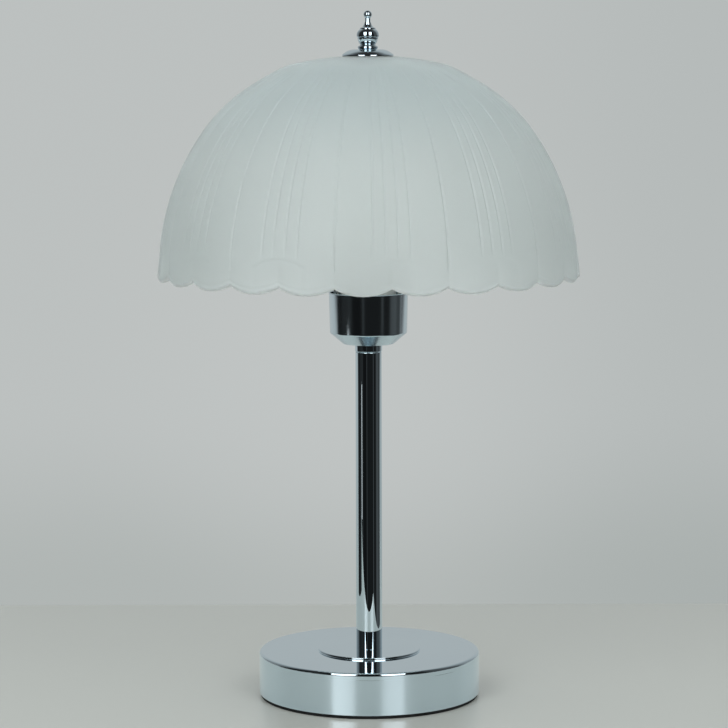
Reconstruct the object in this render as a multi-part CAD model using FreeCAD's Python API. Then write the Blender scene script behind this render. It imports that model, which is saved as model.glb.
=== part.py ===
import FreeCAD, Part
import math
import os

# Mushroom table lamp. Millimetres, +Z up, origin under the middle of the foot pad.
# Every piece is turned about Z unless its function says otherwise.

os.makedirs("parts", exist_ok=True)

# Base
base_radius = 67.0
base_shell_height = 25.5
base_edge_round = 1.8
base_wall = 1.0
disc_radius = 31.0
disc_step = 1.2
disc_edge_round = 0.5
pad_thickness = 2.0
pad_inset = 0.9
weight_height = 14.0
weight_side_gap = 0.5
weight_boss_radius = 24.0
pocket_radius = 13.0
pocket_depth = 9.0

# Lead inlet in the rear wall of the base, on +Y
inlet_radius = 3.2
inlet_wall = 1.7
inlet_length = 9.0
inlet_flange_radius = 6.4
inlet_flange_thickness = 2.4
inlet_edge_round = 0.9
inlet_foot_gap = 0.2

# Threaded pipe, nuts and washers
pipe_radius = 5.0
pipe_wall = 1.3
pipe_tail = 1.2
pipe_entry = 6.0
nut_wall = 2.0
nut_height = 3.5
base_washer_radius = 11.0
base_washer_thickness = 1.5
cup_washer_radius = 9.5
cup_washer_thickness = 0.8

# Stem
stem_radius = 7.95
stem_wall = 1.0
stem_length = 182.0
stem_end_round = 0.8
locator_height = 4.0
ring_overhang = 0.3
ring_height = 4.65
ring_edge_round = 0.3
ring_spigot = 4.0

# Bulb
bulb_radius = 30.0
bulb_length = 107.0
bulb_cap_radius = 13.0
bulb_cap_groove = 0.7
bulb_cap_wall = 0.4
bulb_cap_crests = 5
bulb_thread_pitch = 3.63
bulb_contact_radius = 4.5
bulb_contact_height = 1.3
bulb_pin_radius = 1.5
bulb_insulator_height = 4.0
bulb_insulator_land = 0.6
bulb_insulator_seat = 1.0
bulb_neck_step = 1.2
bulb_join_drop = 13.5
bulb_housing_bulge = -0.6
bulb_wall = 1.2
bulb_foot_depth = 6.0
board_thickness = 1.6

# Lampholder
thread_shell_clearance = 0.4
thread_shell_wall = 0.5
holder_wall = 1.6
holder_side_gap = 1.5
holder_neck_wall = 3.0
holder_neck_height = 3.0
holder_cone_height = 5.0
holder_cap_height = 10.85
holder_body_height = 30.0
holder_lip_height = 2.0
holder_edge_round = 0.8
spigot_height = 1.5
core_height = 8.5
contact_width = 6.0
contact_thickness = 0.5
contact_rise = 1.7
contact_reach = 11.0
screw_radius = 1.5
screw_head_radius = 2.8
screw_head_height = 2.0
screw_slot_width = 0.6
screw_slot_depth = 0.8
screw_end_cover = 1.0
screw_spacing = 20.0

# Harp
wire_radius = 1.6
leg_side_gap = 0.6
leg_top_gap = 2.1
harp_half_width = 44.0
harp_height = 155.5
harp_bend_angle = 60.0
foot_tab_half = 2.0
foot_bend_gap = 4.0
foot_rise_gap = 0.6
foot_width = 9.0
foot_eye_radius = 10.5
foot_thickness = 1.6
rest_radius = 15.0
rest_thickness = 1.5
stud_radius = 3.0
stud_engagement = 7.5

# Cup
cup_wall = 0.9
cup_side_gap = 1.15
cup_cone_width = 7.75
cup_cone_height = 6.55
cup_flare = 0.6
cup_height = 30.95
cup_corner_round = 1.2

# Glass shade: wall arcs from the rim to the crown, each a radius and the angle where it ends
glass_thickness = 3.5
wall_radius = 125.6
rim_lean_angle = 7.0
rim_band_height = 21.3
dome_arcs = ((146.0, 35.5), (100.3, 58.5), (240.0, 63.1), (36.3, 77.4))
crown_rim_width = 1.5
glass_hole_gap = 2.5
lobe_count = 24
lobe_depth = 4.0
lobe_phase_angle = 6.05
groove_width = 1.1
groove_depth = 0.45
single_groove_lift = 9.0
group_groove_lift = 22.0
group_groove_pitch = 3.35
group_groove_count = 4

# Soft rings and cap
lower_gasket_inset = 1.0
lower_gasket_thickness = 1.2
upper_gasket_inset = 0.5
upper_gasket_thickness = 0.5
cap_radius = 15.5
cap_height = 3.9
cap_flat_radius = 8.6
cap_rim_height = 0.5
cap_edge_round = 0.9
cap_bulge = 0.7
cap_thickness = 0.8

# Finial, from its foot to the ball
bush_wall = 0.75
bush_overrun = 0.5
bush_end_gap = 0.4
finial_foot_radius = 6.1
finial_foot_height = 2.1
finial_waist_wall = 0.75
finial_waist_height = 0.7
finial_bell_radius = 6.3
finial_bell_height = 4.1
finial_bell_bulge = 0.35
finial_belly_step = 0.3
finial_belly_height = 4.7
finial_belly_bulge = 0.8
finial_collar_radius = 4.7
finial_collar_height = 0.8
finial_throat_step = 0.7
finial_throat_radius = 2.1
finial_throat_height = 2.5
finial_throat_bulge = -0.3
finial_taper_height = 1.2
finial_neck_radius = 1.6
finial_neck_height = 2.1
finial_ball_radius = 2.5

# Clearances, and how far a cut runs past what it cuts
snug_gap = 0.05
hole_gap = 0.15
contact_gap = 0.3
cut_overrun = 1.0
tolerance = 0.001

# Radii worked out from the sizes above
pipe_hole_radius = pipe_radius + hole_gap
tube_bore_radius = stem_radius - stem_wall
thread_shell_bore = bulb_cap_radius + thread_shell_clearance
thread_shell_radius = thread_shell_bore + thread_shell_wall
holder_bore_radius = thread_shell_radius + holder_side_gap
holder_radius = holder_bore_radius + holder_wall
holder_neck_radius = pipe_radius + holder_neck_wall
harp_leg_x = holder_radius + leg_side_gap + wire_radius
cup_shoulder_radius = harp_leg_x + foot_tab_half + cup_side_gap + cup_wall
cup_floor_radius = cup_shoulder_radius - cup_cone_width
cup_mouth_radius = cup_shoulder_radius + cup_flare
bulb_cap_root = bulb_cap_radius - bulb_cap_groove
bulb_foot_radius = bulb_cap_root - bulb_cap_wall - snug_gap
bulb_neck_radius = bulb_cap_radius + bulb_neck_step
bulb_join_radius = math.sqrt(bulb_radius ** 2 - bulb_join_drop ** 2)
stud_hole_radius = stud_radius + contact_gap
crown_flat_radius = cap_radius + crown_rim_width
finial_bore_radius = stud_radius + 2 * snug_gap + bush_wall

# Levels worked out from the sizes above
shell_top = pad_thickness + base_shell_height
inlet_height = pad_thickness + inlet_flange_radius + inlet_foot_gap
stem_foot = shell_top + disc_step
pocket_top = pad_thickness + pocket_depth
base_nut_bottom = pocket_top - base_washer_thickness - nut_height
ring_bottom = stem_foot + stem_length
cup_bottom = ring_bottom + ring_height
cup_floor = cup_bottom + cup_wall
cup_top = cup_bottom + cup_height
foot_top = cup_floor + foot_thickness
cup_nut_bottom = foot_top + cup_washer_thickness
holder_bottom = cup_nut_bottom + nut_height
pipe_top = holder_bottom + pipe_entry
body_bottom = holder_bottom + holder_cap_height
body_top = body_bottom + holder_body_height
core_bottom = body_bottom + spigot_height
core_top = core_bottom + core_height
bulb_tip = core_top + contact_thickness + contact_rise + contact_gap
bulb_cap_start = bulb_tip + bulb_insulator_height
bulb_cap_end = bulb_cap_start + (bulb_cap_crests + 1) * bulb_thread_pitch
bulb_centre = bulb_tip + bulb_length - bulb_radius
bulb_join = bulb_centre - bulb_join_drop
foot_rise = cup_cone_height - foot_rise_gap
tab_top = foot_top + foot_rise
harp_apex = tab_top + harp_height
rest_bottom = harp_apex + wire_radius
rest_top = rest_bottom + rest_thickness
glass_inside = rest_top + lower_gasket_thickness
glass_top = glass_inside + glass_thickness
cap_bottom = glass_top + upper_gasket_thickness
finial_bottom = cap_bottom + cap_height


# Shape helpers

def at(radius, height):
    return FreeCAD.Vector(radius, 0, height)


def polar(centre, radius, degrees):
    angle = math.radians(degrees)
    return at(centre.x + radius * math.cos(angle), centre.z + radius * math.sin(angle))


def bow(centre, radius, start, end):
    # An arc of an outline, as the three points it runs through
    middle = (start + end) / 2
    return tuple(polar(centre, radius, degrees) for degrees in (start, middle, end))


def curved(start, end, bulge):
    # An arc between two points, bowed by the bulge to the right of the way from one to the other
    chord = end - start
    side = FreeCAD.Vector(chord.z, 0, -chord.x).normalize()
    return start, (start + end) / 2 + side * bulge, end


def outline(path):
    # A closed wire in the XZ plane. An entry is a corner, or the three points of an arc.
    edges = []
    first = path[0][0] if isinstance(path[0], tuple) else path[0]
    last = None
    for entry in path:
        start = entry[0] if isinstance(entry, tuple) else entry
        if last is not None and last.distanceToPoint(start) > tolerance:
            edges.append(Part.LineSegment(last, start).toShape())
        if isinstance(entry, tuple):
            edges.append(Part.Arc(*entry).toShape())
            last = entry[2]
        else:
            last = entry
    if last.distanceToPoint(first) > tolerance:
        edges.append(Part.LineSegment(last, first).toShape())
    return Part.Wire(edges)


def turned(path):
    face = Part.Face(outline(path))
    return face.revolve(FreeCAD.Vector(0, 0, 0), FreeCAD.Vector(0, 0, 1), 360)


def pressed(path, width):
    # A profile in the XZ plane, extruded evenly to both sides of it
    face = Part.Face(outline(path))
    face.translate(FreeCAD.Vector(0, -width / 2, 0))
    return face.extrude(FreeCAD.Vector(0, width, 0))


def disc(radius, bottom, top):
    return Part.makeCylinder(radius, top - bottom, at(0, bottom))


def ring(outer, inner, bottom, top):
    return disc(outer, bottom, top).cut(disc(inner, bottom, top))


def hex_nut(bottom):
    corner = at(2 * (pipe_radius + nut_wall) / math.sqrt(3), bottom)
    corners = [spun(Part.Vertex(corner), 60 * k).Point for k in range(7)]
    blank = Part.Face(Part.makePolygon(corners)).extrude(FreeCAD.Vector(0, 0, nut_height))
    return blank.cut(disc(pipe_radius + snug_gap, bottom, bottom + nut_height))


def spun(shape, degrees):
    copy = shape.copy()
    copy.rotate(FreeCAD.Vector(0, 0, 0), FreeCAD.Vector(0, 0, 1), degrees)
    return copy


def outward(radius, start, length, height):
    # A round bar along +Y
    return Part.makeCylinder(radius, length, FreeCAD.Vector(0, start, height), FreeCAD.Vector(0, 1, 0))


# Base

def base_pad():
    return disc(base_radius - pad_inset, 0, pad_thickness)


def base_shell():
    edge = at(base_radius - base_edge_round, shell_top - base_edge_round)
    inner_round = base_edge_round - base_wall
    step = at(disc_radius - disc_edge_round, stem_foot - disc_edge_round)
    shell = turned([
        at(base_radius, pad_thickness),
        bow(edge, base_edge_round, 0, 90),
        at(disc_radius, shell_top),
        bow(step, disc_edge_round, 0, 90),
        at(pipe_hole_radius, stem_foot),
        at(pipe_hole_radius, stem_foot - base_wall),
        at(disc_radius - base_wall, stem_foot - base_wall),
        at(disc_radius - base_wall, shell_top - base_wall),
        bow(edge, inner_round, 90, 0),
        at(base_radius - base_wall, pad_thickness),
    ])
    hole = outward(inlet_radius + inlet_wall + snug_gap, 0, base_radius + cut_overrun, inlet_height)
    return shell.cut(hole)


def base_weight():
    radius = base_radius - base_wall - weight_side_gap
    top = pad_thickness + weight_height
    boss_top = stem_foot - base_wall
    body = disc(radius, pad_thickness, top).fuse(disc(weight_boss_radius, pad_thickness, boss_top))
    channel_half = inlet_radius + inlet_wall + contact_gap
    channel = Part.makeBox(2 * channel_half, radius + cut_overrun,
                           inlet_height + channel_half - pad_thickness,
                           FreeCAD.Vector(-channel_half, 0, pad_thickness))
    cuts = [disc(pipe_hole_radius, pad_thickness, boss_top),
            disc(pocket_radius, pad_thickness, pocket_top), channel]
    return body.cut(cuts).removeSplitter()


def cord_gland():
    outer_end = base_radius + inlet_flange_thickness
    inner_end = outer_end - inlet_length
    body = outward(inlet_radius + inlet_wall, inner_end, inlet_length, inlet_height)
    flange = outward(inlet_flange_radius, base_radius, inlet_flange_thickness, inlet_height)
    rim = [edge for edge in flange.Edges if abs(edge.CenterOfMass.y - outer_end) < tolerance]
    flange = flange.makeFillet(inlet_edge_round, rim)
    bore = outward(inlet_radius, inner_end - cut_overrun, inlet_length + 2 * cut_overrun, inlet_height)
    return body.fuse(flange).cut(bore)


def base_washer():
    return ring(base_washer_radius, pipe_hole_radius, pocket_top - base_washer_thickness, pocket_top)


def base_nut():
    return hex_nut(base_nut_bottom)


def threaded_pipe():
    return ring(pipe_radius, pipe_radius - pipe_wall, base_nut_bottom - pipe_tail, pipe_top)


# Stem

def stem_locator():
    return ring(tube_bore_radius - snug_gap, pipe_hole_radius, stem_foot, stem_foot + locator_height)


def stem_tube():
    edge = at(stem_radius - stem_end_round, ring_bottom - stem_end_round)
    return turned([
        at(tube_bore_radius, stem_foot),
        at(stem_radius, stem_foot),
        bow(edge, stem_end_round, 0, 90),
        at(tube_bore_radius, ring_bottom),
    ])


def neck_ring():
    ring_radius = stem_radius + ring_overhang
    edge = at(ring_radius - ring_edge_round, ring_bottom + ring_edge_round)
    spigot_radius = tube_bore_radius - snug_gap
    return turned([
        at(pipe_hole_radius, ring_bottom - ring_spigot),
        at(spigot_radius, ring_bottom - ring_spigot),
        at(spigot_radius, ring_bottom),
        bow(edge, ring_edge_round, -90, 0),
        at(ring_radius, cup_bottom),
        at(pipe_hole_radius, cup_bottom),
    ])


# Cup

def socket_cup():
    rise = math.atan2(cup_cone_height, cup_shoulder_radius - cup_floor_radius)
    lean = math.atan2(cup_height - cup_cone_height, cup_mouth_radius - cup_shoulder_radius)
    floor_mitre = cup_wall * math.tan(rise / 2)
    shoulder_mitre = cup_wall * math.tan((lean - rise) / 2)
    shoulder_bottom = cup_bottom + cup_cone_height
    inner_shoulder_radius = cup_shoulder_radius - cup_wall * math.sin(rise) - shoulder_mitre * math.cos(rise)
    inner_shoulder = shoulder_bottom + cup_wall * math.cos(rise) - shoulder_mitre * math.sin(rise)
    cup = turned([
        at(pipe_hole_radius, cup_bottom),
        at(cup_floor_radius, cup_bottom),
        at(cup_shoulder_radius, shoulder_bottom),
        at(cup_mouth_radius, cup_top),
        at(cup_mouth_radius - cup_wall, cup_top),
        at(inner_shoulder_radius, inner_shoulder),
        at(cup_floor_radius - floor_mitre, cup_floor),
        at(pipe_hole_radius, cup_floor),
    ])
    corner = [edge for edge in cup.Edges
              if abs(edge.BoundBox.XMax - cup_shoulder_radius) < tolerance
              and edge.BoundBox.ZLength < tolerance]
    return cup.makeFillet(cup_corner_round, corner)


def cup_washer():
    return ring(cup_washer_radius, pipe_hole_radius, foot_top, cup_nut_bottom)


def cup_nut():
    return hex_nut(cup_nut_bottom)


# Lampholder

def lampholder_cap():
    cone_bottom = holder_bottom + holder_neck_height
    cone_top = cone_bottom + holder_cone_height
    spigot_outer = holder_bore_radius - snug_gap
    spigot_inner = spigot_outer - holder_wall
    return turned([
        at(pipe_radius + snug_gap, holder_bottom),
        at(holder_neck_radius, holder_bottom),
        at(holder_neck_radius, cone_bottom),
        at(holder_radius, cone_top),
        at(holder_radius, body_bottom),
        at(spigot_outer, body_bottom),
        at(spigot_outer, core_bottom),
        at(spigot_inner, core_bottom),
        at(spigot_inner, cone_top),
        at(holder_neck_radius, pipe_top),
        at(pipe_radius + snug_gap, pipe_top),
    ])


def lampholder_body():
    lip_radius = thread_shell_radius + contact_gap
    tube = ring(holder_radius, holder_bore_radius, body_bottom, body_top)
    lip = ring(holder_radius, lip_radius, body_top - holder_lip_height, body_top)
    body = tube.fuse(lip).removeSplitter()
    rim = [edge for edge in body.Edges
           if abs(edge.BoundBox.XMax - holder_radius) < tolerance
           and abs(edge.BoundBox.ZMin - body_top) < tolerance]
    return body.makeFillet(holder_edge_round, rim)


def lampholder_core():
    core = disc(holder_bore_radius - snug_gap, core_bottom, core_top)
    places = [FreeCAD.Vector(0, side * screw_spacing / 2, core_bottom) for side in (-1, 1)]
    return core.cut([Part.makeCylinder(screw_radius + snug_gap, core_height, place) for place in places])


def screw_shell():
    return ring(thread_shell_radius, thread_shell_bore, core_top, body_top - contact_gap)


def centre_contact():
    # A leaf: flat on the insert at one side, bent up to a raised pad in the middle
    low = core_top
    high = low + contact_rise
    pad_half = contact_width / 2
    ramp_end = pad_half + contact_rise
    return pressed([
        at(-contact_reach, low),
        at(-ramp_end, low),
        at(-pad_half, high),
        at(pad_half, high),
        at(pad_half, high + contact_thickness),
        at(-pad_half - contact_thickness / 2, high + contact_thickness),
        at(-ramp_end - contact_thickness / 2, low + contact_thickness),
        at(-contact_reach, low + contact_thickness),
    ], contact_width)


def terminal_screws():
    screws = []
    for side in (-1, 1):
        y = side * screw_spacing / 2
        head_bottom = core_bottom - screw_head_height
        head = Part.makeCylinder(screw_head_radius, screw_head_height, FreeCAD.Vector(0, y, head_bottom))
        shank = Part.makeCylinder(screw_radius, core_height - screw_end_cover,
                                  FreeCAD.Vector(0, y, core_bottom))
        slot = Part.makeBox(2 * screw_head_radius, screw_slot_width, screw_slot_depth,
                            FreeCAD.Vector(-screw_head_radius, y - screw_slot_width / 2, head_bottom))
        screws.append(head.fuse(shank).cut(slot))
    return Part.makeCompound(screws)


# Harp

def harp_foot():
    # A bent strip: flat in the middle, its two ends raised to tabs that the legs stand on
    bends = [at(cup_floor_radius - foot_bend_gap, cup_floor),
             at(harp_leg_x - foot_tab_half, cup_floor + foot_rise),
             at(harp_leg_x + foot_tab_half, cup_floor + foot_rise)]
    lower = [at(-bend.x, bend.z) for bend in reversed(bends)] + bends
    upper = [bend + at(0, foot_thickness) for bend in reversed(lower)]
    strip = pressed(lower + upper, foot_width)
    eye = disc(foot_eye_radius, cup_floor, foot_top)
    return strip.fuse(eye).cut(disc(pipe_hole_radius, cup_floor, foot_top)).removeSplitter()


def harp():
    # Half of the wire's centre line, from a leg's foot to the apex
    spread = harp_half_width - harp_leg_x
    turn = math.radians(harp_bend_angle)
    bend_radius = spread / (2 * (1 - math.cos(turn)))
    bend_bottom = body_top + leg_top_gap
    bend_top = bend_bottom + 2 * bend_radius * math.sin(turn)
    arch_bottom = harp_apex - harp_half_width
    arch = at(0, arch_bottom)
    sides = []
    for side in (1, -1):
        out_centre = at(side * (harp_leg_x + bend_radius), bend_bottom)
        back_centre = at(side * (harp_half_width - bend_radius), bend_top)
        out_bend = bow(out_centre, bend_radius, 90 + side * 90, 90 + side * (90 - harp_bend_angle))
        back_bend = bow(back_centre, bend_radius, 90 - side * (90 + harp_bend_angle), 90 - side * 90)
        sides.append([
            Part.LineSegment(at(side * harp_leg_x, tab_top), out_bend[0]).toShape(),
            Part.Arc(*out_bend).toShape(),
            Part.Arc(*back_bend).toShape(),
            Part.LineSegment(back_bend[2], at(side * harp_half_width, arch_bottom)).toShape(),
        ])
    arches = [Part.Arc(*bow(arch, harp_half_width, 0, 90)).toShape(),
              Part.Arc(*bow(arch, harp_half_width, 90, 180)).toShape()]
    spine = Part.Wire(Part.sortEdges(sides[0] + arches + sides[1])[0])
    section = Part.Wire(Part.makeCircle(wire_radius, at(harp_leg_x, tab_top)))
    return spine.makePipeShell([section], True, True)


def shade_rest():
    return ring(rest_radius, stud_radius + snug_gap, rest_bottom, rest_top)


def shade_stud():
    return disc(stud_radius, rest_bottom, finial_bottom + stud_engagement)


def lower_gasket():
    return ring(rest_radius - lower_gasket_inset, stud_hole_radius, rest_top, glass_inside)


# Glass shade

def dome_chain(offset):
    # The wall's arcs from the rim to the crown, moved inwards by offset. Heights count from the widest level.
    arcs = []
    centre = at(wall_radius - dome_arcs[0][0], 0)
    start = rim_lean_angle
    for number, (radius, end) in enumerate(dome_arcs):
        arcs.append(bow(centre, radius - offset, start, end))
        joint = polar(centre, radius, end)
        if number + 1 < len(dome_arcs):
            next_radius = dome_arcs[number + 1][0]
        else:
            next_radius = joint.x / math.cos(math.radians(end))
        centre = polar(joint, -next_radius, end)
        start = end
    crown_radius = next_radius - offset
    flat_angle = math.degrees(math.acos(crown_flat_radius / next_radius))
    crown = bow(centre, crown_radius, start, flat_angle)
    flat_height = centre.z + next_radius * math.sin(math.radians(flat_angle))
    return arcs, crown, flat_height


def dome_wall(offset):
    # The same arcs at their height in the lamp, and the foot of the straight band under them
    arcs, crown, flat_height = dome_chain(offset)
    lift = at(0, glass_top - dome_chain(0)[2])
    arcs = [tuple(point + lift for point in arc) for arc in arcs]
    crown = tuple(point + lift for point in crown)
    lean = math.radians(rim_lean_angle)
    length = (rim_band_height - glass_thickness / 2) / math.cos(lean)
    band_foot = arcs[0][0] + at(length * math.sin(lean), -length * math.cos(lean))
    return band_foot, arcs, crown


def glass_blank():
    outer_foot, outer, outer_crown = dome_wall(0)
    inner_foot, inner, inner_crown = dome_wall(glass_thickness)
    lip = bow((outer_foot + inner_foot) / 2, glass_thickness / 2, rim_lean_angle - 180, rim_lean_angle)
    hole_radius = stud_radius + glass_hole_gap
    return turned(
        [lip] + outer + [outer_crown]
        + [at(hole_radius, glass_top), at(hole_radius, glass_inside)]
        + [tuple(reversed(arc)) for arc in reversed(inner + [inner_crown])]
    )


def scallop_cutter():
    # What lies below the scalloped rim: a ring with a round lobe left out of it at each scallop
    foot = dome_wall(0)[0]
    bottom = foot.z - glass_thickness / 2
    half_chord = foot.x * math.pi / lobe_count
    lobe_radius = (half_chord ** 2 + lobe_depth ** 2) / (2 * lobe_depth)
    inner = foot.x - 2 * glass_thickness
    outer = foot.x + glass_thickness
    band = ring(outer, inner, bottom - cut_overrun, bottom + lobe_radius)
    lobe = outward(lobe_radius, inner - glass_thickness, outer - inner + 2 * glass_thickness,
                   bottom + lobe_radius)
    pitch = 360 / lobe_count
    return band.cut([spun(lobe, lobe_phase_angle + (k + 0.5) * pitch) for k in range(lobe_count)])


def groove_blade(lift):
    # A thin blade on the XZ plane that follows the wall from a height above the rim to near the crown
    deep_foot, deep, deep_crown = dome_wall(groove_depth)
    clear_foot, clear, clear_crown = dome_wall(-cut_overrun)
    low = dome_wall(0)[0].z - glass_thickness / 2 + lift
    blade = pressed(
        [clear_foot] + clear + [tuple(reversed(arc)) for arc in reversed(deep)] + [deep_foot],
        groove_width)
    below = Part.makeBox(2 * wall_radius, 2 * groove_width, low, FreeCAD.Vector(0, -groove_width, 0))
    return blade.cut(below)


def groove_cutters():
    # Every other cusp carries one long groove, and the cusps between them a group of shorter ones
    pitch = 360 / lobe_count
    single = groove_blade(single_groove_lift)
    grouped = groove_blade(group_groove_lift)
    blades = []
    for k in range(lobe_count):
        cusp = lobe_phase_angle + k * pitch
        if k % 2:
            blades.append(spun(single, cusp))
        else:
            for n in range(group_groove_count):
                offset = (n - (group_groove_count - 1) / 2) * group_groove_pitch
                blades.append(spun(grouped, cusp + offset))
    return blades


def glass_shade():
    return glass_blank().cut([scallop_cutter()] + groove_cutters())


# Soft rings, cap and finial

def upper_gasket():
    return ring(cap_radius - upper_gasket_inset, stud_hole_radius, glass_top, cap_bottom)


def shade_cap():
    shoulder = at(cap_radius, cap_bottom + cap_rim_height)
    crest = at(cap_flat_radius, finial_bottom)
    inner_shoulder = shoulder - at(cap_thickness, 0)
    inner_crest = crest - at(cap_thickness / 2, cap_thickness)
    cap = turned([
        at(cap_radius, cap_bottom),
        curved(shoulder, crest, cap_bulge),
        at(stud_hole_radius, finial_bottom),
        at(stud_hole_radius, finial_bottom - cap_thickness),
        curved(inner_crest, inner_shoulder, -cap_bulge),
        at(cap_radius - cap_thickness, cap_bottom),
    ])
    corner = [edge for edge in cap.Edges
              if abs(edge.BoundBox.XMax - cap_radius) < tolerance
              and abs(edge.BoundBox.ZMin - shoulder.z) < tolerance and edge.BoundBox.ZLength < tolerance]
    return cap.makeFillet(cap_edge_round, corner)


def finial():
    bore_top = finial_bottom + stud_engagement + bush_overrun + bush_end_gap
    foot_round = finial_foot_height / 2
    foot_centre = at(finial_foot_radius - foot_round, finial_bottom + foot_round)
    waist_radius = finial_bore_radius + finial_waist_wall
    waist = finial_bottom + finial_foot_height + finial_waist_height
    bell_top = waist + finial_bell_height
    belly_radius = finial_bell_radius + finial_belly_step
    belly_bottom = bell_top + finial_belly_step
    collar_bottom = belly_bottom + finial_belly_height
    collar_top = collar_bottom + finial_collar_height
    throat_top = collar_top + finial_throat_height
    neck_bottom = throat_top + finial_taper_height
    join_angle = math.degrees(math.acos(finial_neck_radius / finial_ball_radius))
    ball_drop = finial_ball_radius * math.sin(math.radians(join_angle))
    ball = at(0, neck_bottom + finial_neck_height + ball_drop)
    return turned([
        at(finial_bore_radius, finial_bottom),
        bow(foot_centre, foot_round, -90, 90),
        curved(at(waist_radius, waist), at(finial_bell_radius, bell_top), finial_bell_bulge),
        curved(at(belly_radius, belly_bottom), at(finial_collar_radius, collar_bottom), finial_belly_bulge),
        at(finial_collar_radius, collar_top),
        curved(at(finial_collar_radius - finial_throat_step, collar_top),
               at(finial_throat_radius, throat_top), finial_throat_bulge),
        at(finial_neck_radius, neck_bottom),
        bow(ball, finial_ball_radius, -join_angle, 90),
        at(0, bore_top),
        at(finial_bore_radius, bore_top),
    ])


def finial_bush():
    inner = stud_radius + snug_gap
    top = finial_bottom + stud_engagement + bush_overrun
    return ring(inner + bush_wall, inner, finial_bottom + snug_gap, top)


# Bulb

def bulb_contact():
    button = disc(bulb_contact_radius, bulb_tip, bulb_tip + bulb_contact_height)
    pin = disc(bulb_pin_radius, bulb_tip, bulb_cap_start)
    return button.fuse(pin).removeSplitter()


def bulb_insulator():
    hole_radius = bulb_pin_radius + snug_gap
    button_top = bulb_tip + bulb_contact_height + snug_gap
    seat_top = bulb_cap_start + bulb_insulator_seat
    return turned([
        at(hole_radius, button_top),
        at(bulb_contact_radius + bulb_insulator_land, button_top),
        at(bulb_foot_radius, bulb_cap_start),
        at(bulb_foot_radius, seat_top),
        at(hole_radius, seat_top),
    ])


def bulb_screw_cap():
    # A drawn sleeve with round crests, as rings in place of the real thread
    inner = bulb_cap_root - bulb_cap_wall
    path = [at(bulb_cap_root, bulb_cap_start)]
    for crest in range(bulb_cap_crests):
        low = at(bulb_cap_root, bulb_cap_start + (crest + 0.5) * bulb_thread_pitch)
        path.append(curved(low, low + at(0, bulb_thread_pitch), bulb_cap_groove))
    path += [at(bulb_cap_root, bulb_cap_end), at(inner, bulb_cap_end), at(inner, bulb_cap_start)]
    return turned(path)


def bulb_housing():
    foot_bottom = bulb_cap_end - bulb_foot_depth
    neck = at(bulb_neck_radius, bulb_cap_end)
    join = at(bulb_join_radius, bulb_join)
    inner_neck = at(bulb_foot_radius - bulb_wall, bulb_cap_end)
    inner_join = join - at(bulb_wall, board_thickness)
    return turned([
        at(bulb_foot_radius, foot_bottom),
        at(bulb_foot_radius, bulb_cap_end),
        curved(neck, join, bulb_housing_bulge),
        at(inner_join.x, bulb_join),
        curved(inner_join, inner_neck, -bulb_housing_bulge),
        at(inner_neck.x, foot_bottom),
    ])


def bulb_diffuser():
    centre = at(0, bulb_centre)
    inner_radius = bulb_radius - bulb_wall
    join_angle = -math.degrees(math.asin(bulb_join_drop / bulb_radius))
    inner_join_angle = -math.degrees(math.asin(bulb_join_drop / inner_radius))
    return turned([
        bow(centre, bulb_radius, join_angle, 90),
        bow(centre, inner_radius, 90, inner_join_angle),
    ])


def led_board():
    radius = bulb_join_radius - bulb_wall - snug_gap
    return disc(radius, bulb_join - board_thickness, bulb_join)


pieces = (
    base_pad, base_shell, base_weight, cord_gland, base_washer, base_nut, threaded_pipe,
    stem_locator, stem_tube, neck_ring, socket_cup, cup_washer, cup_nut,
    lampholder_cap, lampholder_body, lampholder_core, screw_shell, centre_contact, terminal_screws,
    harp_foot, harp, shade_rest, shade_stud, lower_gasket, glass_shade, upper_gasket,
    shade_cap, finial, finial_bush,
    bulb_contact, bulb_insulator, bulb_screw_cap, bulb_housing, bulb_diffuser, led_board,
)

for piece in pieces:
    shape = piece()
    if not all(solid.isValid() and solid.Volume > 0 for solid in shape.Solids):
        raise RuntimeError(piece.__name__ + " is not a sound solid")
    shape.exportStep("parts/" + piece.__name__ + ".step")
    print(piece.__name__, len(shape.Solids), round(shape.Volume), "mm3")
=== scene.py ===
# Table lamp with a frosted glass shade. Metres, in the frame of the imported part.
import math

import bmesh
import bpy
from mathutils import Matrix, Vector


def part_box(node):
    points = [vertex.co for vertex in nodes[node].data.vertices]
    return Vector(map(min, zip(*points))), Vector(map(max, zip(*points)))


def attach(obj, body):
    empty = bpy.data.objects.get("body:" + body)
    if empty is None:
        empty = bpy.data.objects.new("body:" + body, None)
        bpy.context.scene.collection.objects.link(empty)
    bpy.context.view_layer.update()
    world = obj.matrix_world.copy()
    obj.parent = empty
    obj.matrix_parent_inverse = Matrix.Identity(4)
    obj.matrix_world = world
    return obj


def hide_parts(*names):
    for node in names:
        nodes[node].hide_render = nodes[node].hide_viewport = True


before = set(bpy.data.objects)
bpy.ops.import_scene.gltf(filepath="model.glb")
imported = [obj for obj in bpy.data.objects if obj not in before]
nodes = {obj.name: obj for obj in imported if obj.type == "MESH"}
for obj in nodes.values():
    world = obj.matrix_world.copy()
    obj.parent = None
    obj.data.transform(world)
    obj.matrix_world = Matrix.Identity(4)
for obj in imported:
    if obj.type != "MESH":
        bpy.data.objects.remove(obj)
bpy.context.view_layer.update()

mm = 0.001
samePoint = 1e-7         # metres: nearer points count as one
print("frame loaded,", len(nodes), "nodes")


# Node helpers, for shader trees and geometry trees alike

def put(tree, kind, feeds=None, **setup):
    # Adds a node. A feed is a fixed value or the output socket that feeds that input.
    node = tree.nodes.new(kind)
    for key, value in setup.items():
        setattr(node, key, value)
    for key, value in (feeds or {}).items():
        if isinstance(value, bpy.types.NodeSocket):
            tree.links.new(value, node.inputs[key])
        else:
            node.inputs[key].default_value = value
    return node


def calc(tree, operation, *values):
    return put(tree, "ShaderNodeMath", dict(enumerate(values)), operation=operation).outputs[0]


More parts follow.
